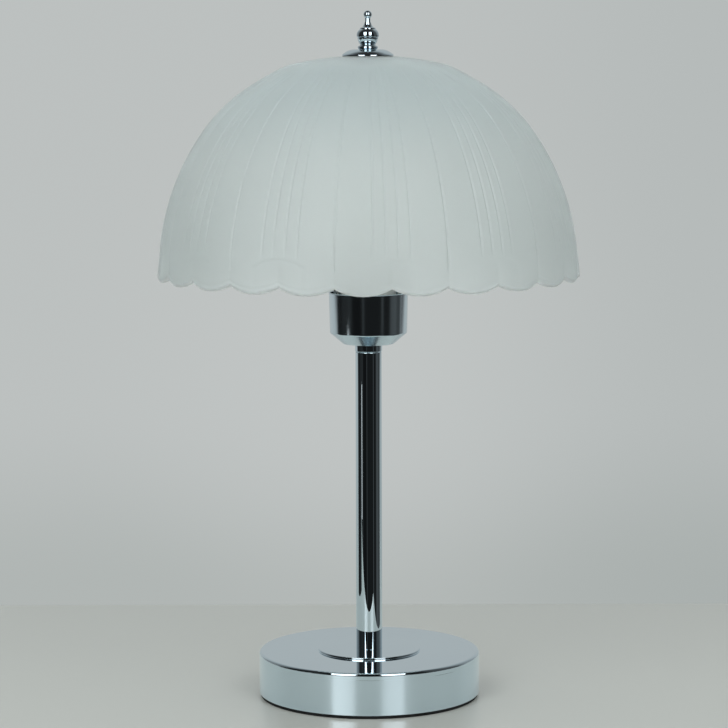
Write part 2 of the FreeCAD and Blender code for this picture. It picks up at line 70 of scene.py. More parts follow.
def chained(operation):
    # Makes a helper that joins two or more values by the same kind of Math node
    def join(tree, total, *others):
        for value in others:
            total = calc(tree, operation, total, value)
        return total
    return join


plus = chained("ADD")
minus = chained("SUBTRACT")
times = chained("MULTIPLY")
over = chained("DIVIDE")
highest = chained("MAXIMUM")


def ease(tree, value, low, high, start=0.0, end=1.0):
    # Goes smoothly from start to end while value goes from low to high
    feeds = {"Value": value, "From Min": low, "From Max": high, "To Min": start, "To Max": end}
    return put(tree, "ShaderNodeMapRange", feeds, interpolation_type="SMOOTHSTEP").outputs[0]


def axes(tree, vector):
    return put(tree, "ShaderNodeSeparateXYZ", {0: vector}).outputs


def noise(tree, vector, scale, **more):
    return put(tree, "ShaderNodeTexNoise", {"Vector": vector, "Scale": scale, **more}).outputs[0]


def blendColours(tree, share, first, second, mode="MIX"):
    feeds = {0: share, 6: first, 7: second}
    return put(tree, "ShaderNodeMix", feeds, data_type="RGBA", blend_type=mode, clamp_factor=True).outputs[2]


def newGroup(name, kind, inputs, outputs):
    # Inputs are (label, type, value) and outputs are (label, type)
    tree = bpy.data.node_groups.new(name, kind)
    for label, form, value in inputs:
        socket = tree.interface.new_socket(name=label, in_out="INPUT", socket_type="NodeSocket" + form)
        if value is not None:
            socket.default_value = value
    for label, form in outputs:
        tree.interface.new_socket(name=label, in_out="OUTPUT", socket_type="NodeSocket" + form)
    return tree, tree.nodes.new("NodeGroupInput").outputs, tree.nodes.new("NodeGroupOutput").inputs


def linked(name, data):
    thing = bpy.data.objects.new(name, data)
    bpy.context.scene.collection.objects.link(thing)
    return thing


# Effects that several finishes share

effectLooks = {
    "drift": (0.35, 0.7), "marksTop": 0.85, "marksCover": 0.5, "marksSoft": 0.25,
    "scratchWays": (((0.3, 0.2, 0.5), (1.0, 1.0, 0.03)), ((0.9, -0.4, 2.1), (0.04, 1.0, 1.0))),
    "scratchCloud": (0.52, 0.66), "dustFacing": (0.35, 0.95), "dustSpecks": (0.4, 0.75),
    "wearSoft": 0.06, "wearChips": (0.35, 0.6), "pitScale": 0.6, "pitReach": 0.4,
}


def makeColourDrift():
    tree, given, result = newGroup(
        "colour drift", "ShaderNodeTree",
        [("Vector", "Vector", None), ("Colour", "Color", (0.5, 0.5, 0.5, 1)),
         ("Other", "Color", (0.4, 0.4, 0.4, 1)), ("Scale", "Float", 20.0), ("Amount", "Float", 0.5)],
        [("Colour", "Color")])
    cloud = noise(tree, given["Vector"], given["Scale"], Detail=5.0, Roughness=0.6)
    share = times(tree, ease(tree, cloud, *effectLooks["drift"]), given["Amount"])
    tree.links.new(blendColours(tree, share, given["Colour"], given["Other"]), result["Colour"])
    return tree


def makeHandling():
    # Soft patches that hands leave
    looks = effectLooks
    tree, given, result = newGroup(
        "handling marks", "ShaderNodeTree",
        [("Vector", "Vector", None), ("Scale", "Float", 30.0), ("Cover", "Float", 0.5)],
        [("Marks", "Float")])
    haze = noise(tree, given["Vector"], given["Scale"], Detail=7.0, Roughness=0.62, Distortion=0.5)
    start = minus(tree, looks["marksTop"], times(tree, given["Cover"], looks["marksCover"]))
    tree.links.new(ease(tree, haze, start, plus(tree, start, looks["marksSoft"])), result["Marks"])
    return tree


def makeScratches():
    # Hair-thin lines in two directions, broken up by a larger cloud
    looks = effectLooks
    tree, given, result = newGroup(
        "fine scratches", "ShaderNodeTree",
        [("Vector", "Vector", None), ("Scale", "Float", 60.0), ("Width", "Float", 0.01)],
        [("Scratches", "Float")])
    cloud = noise(tree, given["Vector"], given["Scale"], Detail=2.0)
    lines = []
    for turn, stretch in looks["scratchWays"]:
        feeds = {"Vector": given["Vector"], "Rotation": turn, "Scale": stretch}
        turned = put(tree, "ShaderNodeMapping", feeds).outputs[0]
        wisp = noise(tree, turned, given["Scale"], Detail=3.0, Distortion=0.2)
        away = calc(tree, "ABSOLUTE", minus(tree, wisp, 0.5))
        lines.append(ease(tree, away, 0.0, given["Width"], 1.0, 0.0))
    broken = times(tree, highest(tree, *lines), ease(tree, cloud, *looks["scratchCloud"]))
    tree.links.new(broken, result["Scratches"])
    return tree


def makeDust():
    # Dust on what faces up
    looks = effectLooks
    tree, given, result = newGroup(
        "settled dust", "ShaderNodeTree",
        [("Vector", "Vector", None), ("Scale", "Float", 90.0), ("Amount", "Float", 0.3)],
        [("Dust", "Float")])
    facing = axes(tree, put(tree, "ShaderNodeNewGeometry").outputs["Normal"])["Z"]
    specks = noise(tree, given["Vector"], given["Scale"], Detail=8.0, Roughness=0.75)
    share = times(tree, ease(tree, facing, *looks["dustFacing"]), ease(tree, specks, *looks["dustSpecks"]))
    tree.links.new(times(tree, share, given["Amount"]), result["Dust"])
    return tree


def makeEdgeWear():
    looks = effectLooks
    tree, given, result = newGroup(
        "edge wear", "ShaderNodeTree",
        [("Vector", "Vector", None), ("Scale", "Float", 200.0), ("Start", "Float", 0.53)],
        [("Wear", "Float")])
    sharp = put(tree, "ShaderNodeNewGeometry").outputs["Pointiness"]
    edge = ease(tree, sharp, given["Start"], plus(tree, given["Start"], looks["wearSoft"]))
    chips = noise(tree, given["Vector"], given["Scale"], Detail=4.0)
    tree.links.new(times(tree, edge, ease(tree, chips, *looks["wearChips"])), result["Wear"])
    return tree


def makeGrain():
    # Fine relief: a cloud with small pits in it
    looks = effectLooks
    tree, given, result = newGroup(
        "fine grain", "ShaderNodeTree",
        [("Vector", "Vector", None), ("Scale", "Float", 900.0), ("Pits", "Float", 0.3)],
        [("Height", "Float")])
    cloud = noise(tree, given["Vector"], given["Scale"], Detail=4.0, Roughness=0.6)
    feeds = {"Vector": given["Vector"], "Scale": times(tree, given["Scale"], looks["pitScale"])}
    pits = put(tree, "ShaderNodeTexVoronoi", feeds).outputs["Distance"]
    hole = times(tree, ease(tree, pits, 0.0, looks["pitReach"], 1.0, 0.0), given["Pits"])
    tree.links.new(minus(tree, cloud, hole), result["Height"])
    return tree


colourDrift = makeColourDrift()
handling = makeHandling()
scratches = makeScratches()
settledDust = makeDust()
edgeWear = makeEdgeWear()
fineGrain = makeGrain()
print("shared effects made")


# Finishes

def emptyMaterial(name):
    material = bpy.data.materials.new(name)
    material.use_nodes = True
    material.node_tree.nodes.clear()
    return material, material.node_tree


def startMaterial(name, **plain):
    # A material with its shader and the place that patterns read. Plain holds the shader's fixed values.
    material, tree = emptyMaterial(name)
    values = {key.replace("_", " "): value for key, value in plain.items()}
    shader = put(tree, "ShaderNodeBsdfPrincipled", values)
    put(tree, "ShaderNodeOutputMaterial", {"Surface": shader.outputs[0]})
    return material, tree, shader, put(tree, "ShaderNodeTexCoord").outputs["Object"]


def effect(tree, group, place, **values):
    node = put(tree, "ShaderNodeGroup", node_tree=group)
    tree.links.new(place, node.inputs["Vector"])
    for key, value in values.items():
        node.inputs[key].default_value = value
    return node.outputs[0]


def relief(tree, shader, height, depth):
    bump = put(tree, "ShaderNodeBump", {"Height": height, "Strength": 1.0, "Distance": depth})
    tree.links.new(bump.outputs[0], shader.inputs["Normal"])


def stretchedNoise(tree, place, stretch, scale, detail):
    mapped = put(tree, "ShaderNodeMapping", {"Vector": place, "Scale": stretch}).outputs[0]
    return noise(tree, mapped, scale, Detail=detail)


chromeLooks = {
    "colour": (0.68, 0.785, 0.85, 1), "shade": (0.655, 0.76, 0.83, 1), "drift": 9.0, "driftShare": 0.8,
    "roughness": 0.014, "hazeGain": 0.018, "scratchGain": 0.07, "dustGain": 0.30,
    "hazeScale": 24.0, "hazeCover": 0.75, "scratchScale": 70.0, "scratchWidth": 0.005, "scratchHeight": -0.05,
    "dust": 0.05, "dustScale": 160.0, "dustColour": (0.62, 0.63, 0.62, 1),
    "ripple": (38.0, 38.0, 5.0), "rippleDepth": 0.006 * mm,
}


def makeChrome(name, looks, spun=0.0):
    # Spun is the roughness that buffing leaves across the lines of a turned piece
    material, tree, shader, place = startMaterial(name, Metallic=1.0, Anisotropic=1.0 if spun else 0.0)
    if spun:
        around = put(tree, "ShaderNodeTangent", direction_type="RADIAL", axis="Z")
        tree.links.new(around.outputs[0], shader.inputs["Tangent"])
    tint = effect(tree, colourDrift, place, Colour=looks["colour"], Other=looks["shade"],
                  Scale=looks["drift"], Amount=looks["driftShare"])
    dust = effect(tree, settledDust, place, Scale=looks["dustScale"], Amount=looks["dust"])
    tree.links.new(blendColours(tree, dust, tint, looks["dustColour"]), shader.inputs["Base Color"])
    haze = effect(tree, handling, place, Scale=looks["hazeScale"], Cover=looks["hazeCover"])
    lines = effect(tree, scratches, place, Scale=looks["scratchScale"], Width=looks["scratchWidth"])
    rough = plus(tree, max(looks["roughness"], spun), times(tree, haze, looks["hazeGain"]))
    rough = calc(tree, "MULTIPLY_ADD", lines, looks["scratchGain"], rough)
    rough = calc(tree, "MULTIPLY_ADD", dust, looks["dustGain"], rough)
    tree.links.new(rough, shader.inputs["Roughness"])
    wave = stretchedNoise(tree, place, looks["ripple"], 1.0, 2.0)
    height = calc(tree, "MULTIPLY_ADD", lines, looks["scratchHeight"], wave)
    relief(tree, shader, height, looks["rippleDepth"])
    return material


glassLooks = {
    "colour": (0.835, 0.88, 0.874, 1), "deep": (0.795, 0.845, 0.836, 1), "drift": 14.0, "driftShare": 0.6,
    "roughness": 0.52, "roughnessSpread": 0.08, "transmission": 0.72, "ior": 1.45,
    "grainScale": 1400.0, "grainDepth": 0.04 * mm, "pits": 0.4, "hazeScale": 18.0, "hazeCover": 0.6,
    "dust": 0.12, "dustScale": 120.0, "dustColour": (0.80, 0.82, 0.80, 1),
    # lip, limb and crown are painted light and shade: a glow on the rim's rounded edge, a paler outline and a
    # darker crown
    "lip": (0.985, 1.0, 0.995, 1), "lipRoughness": -0.10, "lipTop": 264.5 * mm, "lipFade": 2.0 * mm,
    "lipFacing": (-0.42, -0.12), "limb": (0.93, 1.0, 1.0, 1), "limbGrazing": (0.45, 1.0),
    "crown": (0.745, 0.817, 0.823, 1), "crownHeight": (321.0 * mm, 385.0 * mm),
}


def makeFrostedGlass():
    # Painted light and shade: darker and greener towards the crown (painted shade), paler at the outline
    # (painted light) and on the rounded edge of the rim (a painted glow)
    looks = glassLooks
    material, tree, shader, place = startMaterial(
        "frosted glass", Metallic=0.0, IOR=looks["ior"], Transmission_Weight=looks["transmission"])
    tint = effect(tree, colourDrift, place, Colour=looks["colour"], Other=looks["deep"],
                  Scale=looks["drift"], Amount=looks["driftShare"])
    dust = effect(tree, settledDust, place, Scale=looks["dustScale"], Amount=looks["dust"])
    tint = blendColours(tree, dust, tint, looks["dustColour"])
    height = axes(tree, place)["Z"]
    # painted shade: the glass is darkened and greened towards the crown, by height
    tint = blendColours(tree, ease(tree, height, *looks["crownHeight"]), tint, looks["crown"])
    # painted light: the outline is paler where the surface turns away from the view
    grazing = put(tree, "ShaderNodeLayerWeight", {"Blend": 0.5}).outputs["Facing"]
    tint = blendColours(tree, ease(tree, grazing, *looks["limbGrazing"]), tint, looks["limb"])
    # painted glow: the rim's rounded edge is painted near white where it faces down, and it is also made
    # glossier there
    facing = axes(tree, put(tree, "ShaderNodeNewGeometry").outputs["Normal"])["Z"]
    low = ease(tree, height, looks["lipTop"] - looks["lipFade"], looks["lipTop"], 1.0, 0.0)
    lip = times(tree, low, ease(tree, facing, *looks["lipFacing"], 1.0, 0.0))
    tree.links.new(blendColours(tree, lip, tint, looks["lip"]), shader.inputs["Base Color"])
    haze = effect(tree, handling, place, Scale=looks["hazeScale"], Cover=looks["hazeCover"])
    rough = calc(tree, "MULTIPLY_ADD", haze, looks["roughnessSpread"], looks["roughness"])
    rough = calc(tree, "MULTIPLY_ADD", lip, looks["lipRoughness"], rough)
    tree.links.new(rough, shader.inputs["Roughness"])
    grain = effect(tree, fineGrain, place, Scale=looks["grainScale"], Pits=looks["pits"])
    relief(tree, shader, grain, looks["grainDepth"])
    return material


plainLooks = {
    "driftShare": 0.9, "wearScale": 240.0, "dustScale": 140.0, "dustColour": (0.55, 0.54, 0.52, 1),
    "hazeScale": 45.0, "hazeCover": 0.7, "hazeGain": 0.16, "pits": 0.5,
}


def makePlain(name, colour, other, roughness, grainScale=900.0, grainDepth=0.03 * mm, drift=25.0,
              wearColour=None, dust=0.15, **plain):
    # Moulded, cast or fired surfaces: tone drift, haze, grain, dust and rubbed edges
    looks = plainLooks
    material, tree, shader, place = startMaterial(name, **plain)
    tint = effect(tree, colourDrift, place, Colour=colour, Other=other,
                  Scale=drift, Amount=looks["driftShare"])
    if wearColour:
        worn = effect(tree, edgeWear, place, Scale=looks["wearScale"])
        tint = blendColours(tree, worn, tint, wearColour)
    lying = effect(tree, settledDust, place, Scale=looks["dustScale"], Amount=dust)
    tree.links.new(blendColours(tree, lying, tint, looks["dustColour"]), shader.inputs["Base Color"])
    haze = effect(tree, handling, place, Scale=looks["hazeScale"], Cover=looks["hazeCover"])
    rough = calc(tree, "MULTIPLY_ADD", haze, looks["hazeGain"], roughness)
    tree.links.new(rough, shader.inputs["Roughness"])
    relief(tree, shader, effect(tree, fineGrain, place, Scale=grainScale, Pits=looks["pits"]), grainDepth)
    return material


platedLooks = {
    "drift": 40.0, "driftShare": 1.0, "hazeScale": 60.0, "hazeCover": 0.8, "hazeGain": 0.14,
    "scratchScale": 110.0, "scratchWidth": 0.012, "scratchGain": 0.15,
    "drawn": (260.0, 260.0, 20.0), "drawnScale": 8.0, "drawnDepth": 0.01 * mm,
}


def makePlated(name, colour, other, roughness):
    # Plain plated metal with drawing lines along Z
    looks = platedLooks
    material, tree, shader, place = startMaterial(name, Metallic=1.0)
    tint = effect(tree, colourDrift, place, Colour=colour, Other=other,
                  Scale=looks["drift"], Amount=looks["driftShare"])
    tree.links.new(tint, shader.inputs["Base Color"])
    haze = effect(tree, handling, place, Scale=looks["hazeScale"], Cover=looks["hazeCover"])
    lines = effect(tree, scratches, place, Scale=looks["scratchScale"], Width=looks["scratchWidth"])
    rough = calc(tree, "MULTIPLY_ADD", haze, looks["hazeGain"], roughness)
    tree.links.new(calc(tree, "MULTIPLY_ADD", lines, looks["scratchGain"], rough), shader.inputs["Roughness"])
    drawn = stretchedNoise(tree, place, looks["drawn"], looks["drawnScale"], 4.0)
    relief(tree, shader, drawn, looks["drawnDepth"])
    return material


boardLooks = {
    "mask": (0.80, 0.82, 0.80, 1), "maskOther": (0.76, 0.79, 0.77, 1), "track": (0.62, 0.66, 0.62, 1),
    "trackScale": 160.0, "trackWidth": 0.03, "trackDepth": 0.03 * mm, "coat": 0.3, "roughness": 0.35,
    "dust": 0.1, "dustScale": 140.0, "dustColour": (0.6, 0.6, 0.58, 1),
    "hazeScale": 80.0, "hazeCover": 0.6, "hazeGain": 0.2,
}


def makeBoard():
    # White solder resist with tracks
    looks = boardLooks
    material, tree, shader, place = startMaterial("led board", Metallic=0.0, Coat_Weight=looks["coat"])
    tracks = put(tree, "ShaderNodeTexBrick", {
        "Vector": place, "Scale": looks["trackScale"], "Color1": looks["mask"], "Color2": looks["maskOther"],
        "Mortar": looks["track"], "Mortar Size": looks["trackWidth"]})
    dust = effect(tree, settledDust, place, Scale=looks["dustScale"], Amount=looks["dust"])
    tint = blendColours(tree, dust, tracks.outputs["Color"], looks["dustColour"])
    tree.links.new(tint, shader.inputs["Base Color"])
    haze = effect(tree, handling, place, Scale=looks["hazeScale"], Cover=looks["hazeCover"])
    rough = calc(tree, "MULTIPLY_ADD", haze, looks["hazeGain"], looks["roughness"])
    tree.links.new(rough, shader.inputs["Roughness"])
    relief(tree, shader, tracks.outputs["Fac"], looks["trackDepth"])
    return material


finishes = {
    "chrome": makeChrome("polished chrome", chromeLooks),
    "spun_chrome": makeChrome("spun chrome", chromeLooks, spun=0.09),
    "frosted_glass": makeFrostedGlass(),
    "rubber_pad": makePlain(
        "sheet rubber", (0.006, 0.006, 0.0065, 1), (0.014, 0.014, 0.015, 1), 0.66, grainScale=700.0,
        grainDepth=0.08 * mm, wearColour=(0.03, 0.03, 0.03, 1), Specular_IOR_Level=0.2),
    "cast_weight": makePlain(
        "cast iron", (0.075, 0.075, 0.08, 1), (0.12, 0.10, 0.09, 1), 0.55, grainScale=380.0,
        grainDepth=0.2 * mm, wearColour=(0.2, 0.2, 0.2, 1), Metallic=0.7),
    "black_plastic": makePlain(
        "black plastic", (0.014, 0.014, 0.015, 1), (0.022, 0.022, 0.023, 1), 0.4,
        wearColour=(0.05, 0.05, 0.05, 1)),
    "holder_plastic": makePlain(
        "holder plastic", (0.70, 0.71, 0.69, 1), (0.62, 0.63, 0.60, 1), 0.34,
        wearColour=(0.78, 0.78, 0.77, 1)),
    "ceramic": makePlain(
        "glazed ceramic", (0.76, 0.74, 0.68, 1), (0.68, 0.66, 0.60, 1), 0.25, grainScale=300.0,
        Coat_Weight=0.5),
    "clear_ring": makePlain(
        "soft clear ring", (0.70, 0.73, 0.72, 1), (0.60, 0.64, 0.62, 1), 0.38,
        Transmission_Weight=0.5, IOR=1.42),
    "bulb_white": makePlain(
        "bulb housing", (0.80, 0.81, 0.80, 1), (0.74, 0.75, 0.74, 1), 0.3,
        wearColour=(0.7, 0.7, 0.68, 1)),
    "bulb_opal": makePlain(
        "opal diffuser", (0.88, 0.89, 0.88, 1), (0.84, 0.85, 0.84, 1), 0.42, grainScale=1500.0,
        grainDepth=0.01 * mm, Transmission_Weight=0.25, IOR=1.46),
    "plated_steel": makePlated("plated steel", (0.62, 0.63, 0.62, 1), (0.50, 0.50, 0.47, 1), 0.24),
    "brass": makePlated("brass", (0.72, 0.52, 0.24, 1), (0.60, 0.42, 0.19, 1), 0.26),
    "bulb_tin": makePlated("drawn tin", (0.66, 0.66, 0.64, 1), (0.55, 0.55, 0.52, 1), 0.22),
    "board": makeBoard(),
}
print("finishes made")


# Mesh helpers

def size(node):
    # Radius, bottom and top of a node that is turned about Z
    low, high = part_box(node)
    return high.x, low.z, high.z


def rounded(corners, facets=6):
    # Corners are (radius, height), or (radius, height, rounding)
    points = []
    for index, corner in enumerate(corners):
        here = Vector(corner[:2])
        if len(corner) < 3:
            points.append(tuple(here))
            continue
        toward = (Vector(corners[index - 1][:2]) - here).normalized()
        away = (Vector(corners[(index + 1) % len(corners)][:2]) - here).normalized()
        half = toward.angle(away) / 2
        middle = here + (toward + away).normalized() * (corner[2] / math.sin(half))
        start = here + toward * (corner[2] / math.tan(half)) - middle
        end = here + away * (corner[2] / math.tan(half)) - middle
        points += [tuple(middle + start.slerp(end, step / facets) * corner[2]) for step in range(facets + 1)]
    return points


def bowed(start, end, bulge, count=14):
    # Points of an arc from start to end, bowed by bulge to the right of the way
    start, end = Vector(start), Vector(end)
    along = (end - start).normalized()
    side = Vector((along.y, -along.x))
    chord = (end - start).length
    radius = (chord * chord / 4 + bulge * bulge) / (2 * bulge)
    half = 2 * math.atan(2 * bulge / chord)
    points = []
    for step in range(count + 1):
        angle = half * (2 * step / count - 1)
        rise = radius * math.cos(angle) - radius + bulge
        points.append(tuple((start + end) / 2 + along * radius * math.sin(angle) + side * rise))
    return points


def swept(centre, radius, start, end, count=12):
    # Points of an arc about a centre, angles in degrees
    angles = [math.radians(start + (end - start) * step / count) for step in range(count + 1)]
    return [(centre[0] + radius * math.cos(angle), centre[1] + radius * math.sin(angle)) for angle in angles]


def turnedMesh(name, path, angles):
    # A closed outline of (radius, height) turned about Z, with one column of points at each angle
    points, faces, rings = [], [], []
    for radius, height in path:
        here = angles if radius > samePoint else angles[:1]
        rings.append([len(points) + step for step in range(len(here))])
        points += [(radius * math.cos(angle), radius * math.sin(angle), height) for angle in here]
    count = len(angles)
    for ring, following in zip(rings, rings[1:] + rings[:1]):
        if len(ring) == 1 and len(following) == 1:
            continue
        for step in range(count):
            ahead = (step + 1) % count
            face = [ring[step % len(ring)], ring[ahead % len(ring)],
                    following[ahead % len(following)], following[step % len(following)]]
            faces.append(list(dict.fromkeys(face)))
    mesh = bpy.data.meshes.new(name)
    mesh.from_pydata(points, [], faces)
    return mesh


def evenAngles(steps):
    return [2 * math.pi * step / steps for step in range(steps)]


def baked(piece):
    # Works the piece's modifiers into a plain mesh
    graph = bpy.context.evaluated_depsgraph_get()
    shape = piece.evaluated_get(graph)
    plain = bpy.data.meshes.new_from_object(shape, preserve_all_data_layers=True, depsgraph=graph)
    piece.modifiers.clear()
    piece.data = plain
    return piece


def finished(name, mesh, sharpDegrees=38.0):
    # Outward faces, smooth shading between the sharp edges, and even normals on the flats
    work = bmesh.new()
    work.from_mesh(mesh)
    bmesh.ops.remove_doubles(work, verts=work.verts, dist=samePoint)
    bmesh.ops.recalc_face_normals(work, faces=work.faces)
    work.to_mesh(mesh)
    work.free()
    mesh.shade_smooth()
    mesh.set_sharp_from_angle(angle=math.radians(sharpDegrees))
    piece = linked(name, mesh)
    piece.modifiers.new("even normals", "WEIGHTED_NORMAL").keep_sharp = True
    return baked(piece)


def turned(name, path, steps=192):
    return finished(name, turnedMesh(name, path, evenAngles(steps)))


def dress(piece, body, finish, *replaced, variant=None):
    # Gives a piece its body, its finish and the nodes that it stands for
    piece.data.materials.clear()
    piece.data.materials.append(finishes[variant or finish])
    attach(piece, body)
    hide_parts(*replaced)


# Base

baseLooks = {
    "edgeRound": 1.8 * mm, "footRound": 0.3 * mm, "wall": 1.0 * mm, "holeRadius": 5.15 * mm,
    "discRadius": 31.0 * mm, "discStep": 1.2 * mm, "discRound": 0.5 * mm, "discFoot": 0.35 * mm,
    "swageTop": 3.1 * mm, "swageHeight": 1.4 * mm, "swageDepth": 0.026 * mm, "swageSteps": 16,
    "padRound": 0.35 * mm, "inletHeight": 8.6 * mm, "inletHole": 4.95 * mm, "inletReach": 6.0 * mm,
    "flange": 6.4 * mm, "flangeDepth": 2.4 * mm, "flangeFoot": 0.15 * mm, "flangeRound": 0.9 * mm,
    "sleeve": 4.9 * mm, "sleeveRound": 0.3 * mm,
    "bore": 3.2 * mm, "boreFoot": 0.2 * mm, "boreRound": 0.5 * mm,
}


def alongY(name, path, steps=96):
    # Turned about the lead inlet's line: an outline's second number is then the distance along Y
    mesh = turnedMesh(name, path, evenAngles(steps))
    lift = Matrix.Translation((0, 0, baseLooks["inletHeight"]))
    mesh.transform(lift @ Matrix.Rotation(math.radians(-90), 4, "X"))
    work = bmesh.new()
    work.from_mesh(mesh)
    bmesh.ops.recalc_face_normals(work, faces=work.faces)
    work.to_mesh(mesh)
    work.free()
    return mesh


def cutInlet(shell, radius):
    looks = baseLooks
    start = radius - looks["inletReach"]
    end = radius + looks["inletReach"]
    outline = [(0.0, start), (looks["inletHole"], start), (looks["inletHole"], end), (0.0, end)]
    hole = linked("inletHole", alongY("inletHole", outline, steps=48))
    cut = shell.modifiers.new("inlet", "BOOLEAN")
    cut.operation = "DIFFERENCE"
    cut.solver = "EXACT"
    cut.object = hole
    shell.modifiers.new("even normals", "WEIGHTED_NORMAL").keep_sharp = True
    baked(shell)
    bpy.data.objects.remove(hole)


def makeBase():
    looks = baseLooks
    radius, bottom, top = size("base_shell")
    plate = top - looks["discStep"]
    wall = looks["wall"]
    swage = []                                # the faint hollow that the press leaves under the edge
    steps = looks["swageSteps"]
    for step in range(steps + 1):
        dip = looks["swageDepth"] * (1 - math.cos(2 * math.pi * step / steps)) / 2
        swage.append((radius - dip, plate - looks["swageTop"] - looks["swageHeight"] * (1 - step / steps)))
    shell = turned("baseShell", rounded([(radius, bottom, looks["footRound"])] + swage + [
        (radius, plate, looks["edgeRound"]),
        (looks["discRadius"], plate, looks["discFoot"]),
        (looks["discRadius"], top, looks["discRound"]),
        (looks["holeRadius"], top),
        (looks["holeRadius"], top - wall),
        (looks["discRadius"] - wall, top - wall),
        (looks["discRadius"] - wall, plate - wall),
        (radius - wall, plate - wall, looks["edgeRound"] - wall),
        (radius - wall, bottom),
    ], facets=8), steps=256)
    cutInlet(shell, radius)
    dress(shell, "root", "chrome", "base_shell")

    radius, bottom, top = size("base_pad")
    pad = turned("footPad", rounded([
        (0.0, bottom), (radius, bottom, looks["padRound"]), (radius, top, looks["padRound"]), (0.0, top)]))
    dress(pad, "root", "rubber_pad", "base_pad")


def makeGland():
    looks = baseLooks
    low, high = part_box("cord_gland")
    face = high.y - looks["flangeDepth"]
    gland = finished("inletGland", alongY("inletGland", rounded([
        (looks["bore"], low.y, looks["boreFoot"]),
        (looks["sleeve"], low.y, looks["sleeveRound"]),
        (looks["sleeve"], face),
        (looks["flange"], face, looks["flangeFoot"]),
        (looks["flange"], high.y, looks["flangeRound"]),
        (looks["bore"], high.y, looks["boreRound"]),
    ])))
    dress(gland, "root", "black_plastic", "cord_gland")


makeBase()
makeGland()
print("base made")


# Stem and cup

stemLooks = {
    "wall": 1.0 * mm, "footRound": 0.15 * mm, "headRound": 0.8 * mm, "bore": 5.15 * mm,
    "ringRound": 0.3 * mm, "ringTopRound": 0.2 * mm, "spigot": 4.0 * mm, "spigotGap": 0.05 * mm,
}
cupLooks = {
    "wall": 0.9 * mm, "floorRadius": 15.5 * mm, "shoulderRadius": 23.25 * mm, "coneHeight": 6.55 * mm,
    "shoulderRound": 1.2 * mm, "floorRound": 0.5 * mm, "lipRound": 0.4 * mm, "innerRound": 1.0 * mm,
}


def makeStem():
    looks = stemLooks
    radius, bottom, top = size("stem_tube")
    inner = radius - looks["wall"]
    tube = turned("stemTube", rounded([
        (radius, bottom, looks["footRound"]), (radius, top, looks["headRound"]),
        (inner, top), (inner, bottom)], facets=12))
    dress(tube, "root", "chrome", "stem_tube")

    ringRadius, ringBottom, ringTop = size("neck_ring")
    shoulder = ringBottom + looks["spigot"]
    spigot = inner - looks["spigotGap"]
    collar = turned("neckRing", rounded([
        (looks["bore"], ringBottom), (spigot, ringBottom), (spigot, shoulder),
        (ringRadius, shoulder, looks["ringRound"]), (ringRadius, ringTop, looks["ringTopRound"]),
        (looks["bore"], ringTop)], facets=10))
    dress(collar, "root", "chrome", "neck_ring")


def makeCup():
    looks = cupLooks
    mouth, bottom, top = size("socket_cup")
    wall = looks["wall"]
    slope = math.atan2(looks["coneHeight"], looks["shoulderRadius"] - looks["floorRadius"])
    lift = wall * math.cos(slope)
    draw = wall * math.sin(slope)
    cup = turned("openCup", rounded([
        (stemLooks["bore"], bottom),
        (looks["floorRadius"], bottom, looks["floorRound"]),
        (looks["shoulderRadius"], bottom + looks["coneHeight"], looks["shoulderRound"]),
        (mouth, top, looks["lipRound"]),
        (mouth - wall, top, looks["lipRound"]),
        (looks["shoulderRadius"] - wall, bottom + looks["coneHeight"] + lift / 2, looks["innerRound"]),
        (looks["floorRadius"] - draw / 2, bottom + wall),
        (stemLooks["bore"], bottom + wall),
    ], facets=8))
    dress(cup, "root", "chrome", "socket_cup", variant="spun_chrome")


makeStem()
makeCup()
print("stem and cup made")


# Rules that shape a turned blank

axisGuard = 0.1 * mm                           # keeps the division below from reaching the axis


def fromAxis(tree):
    # A point's place along each axis, and its distance from the Z axis
    parts = axes(tree, put(tree, "GeometryNodeInputPosition").outputs[0])
    squares = plus(tree, times(tree, parts["X"], parts["X"]), times(tree, parts["Y"], parts["Y"]))
    return parts, calc(tree, "SQRT", squares)


def shapedBlank(tree, given, parts, share, rise=0.0):
    # Moves the blank's points out by a share of their distance from the axis, and up by rise
    offset = put(tree, "ShaderNodeCombineXYZ", {
        "X": times(tree, parts["X"], share), "Y": times(tree, parts["Y"], share), "Z": rise}).outputs[0]
    moved = put(tree, "GeometryNodeSetPosition", {"Geometry": given["Blank"], "Offset": offset}).outputs[0]
    real = put(tree, "GeometryNodeRealizeInstances", {"Geometry": moved}).outputs[0]
    return put(tree, "GeometryNodeSetMaterial", {"Geometry": real, "Material": given["Finish"]}).outputs[0]


def makeThreadRule():
    # Pushes a round blank's skin out and in along a screw line, between two levels
    tree, given, result = newGroup(
        "screw thread", "GeometryNodeTree",
        [("Blank", "Geometry", None), ("Pitch", "Float", 3.6 * mm), ("Depth", "Float", 0.5 * mm),
         ("Low", "Float", 0.0), ("High", "Float", 0.01), ("Run Out", "Float", 1.5 * mm),
         ("Skin Radius", "Float", 0.0), ("Finish", "Material", None)],
        [("Piece", "Geometry")])
    parts, radius = fromAxis(tree)
    turns = over(tree, calc(tree, "ARCTAN2", parts["Y"], parts["X"]), 2 * math.pi)
    climb = minus(tree, over(tree, parts["Z"], given["Pitch"]), turns)
    wave = minus(tree, calc(tree, "COSINE", times(tree, climb, 2 * math.pi)), 1.0)
    opening = ease(tree, parts["Z"], given["Low"], plus(tree, given["Low"], given["Run Out"]))
    closing = ease(tree, parts["Z"], minus(tree, given["High"], given["Run Out"]), given["High"], 1.0, 0.0)
    onSkin = calc(tree, "GREATER_THAN", radius, given["Skin Radius"])
    shift = times(tree, times(tree, wave, 0.5, given["Depth"]), times(tree, opening, closing, onSkin))
    share = over(tree, shift, highest(tree, radius, axisGuard))
    tree.links.new(shapedBlank(tree, given, parts, share), result["Piece"])
    return tree


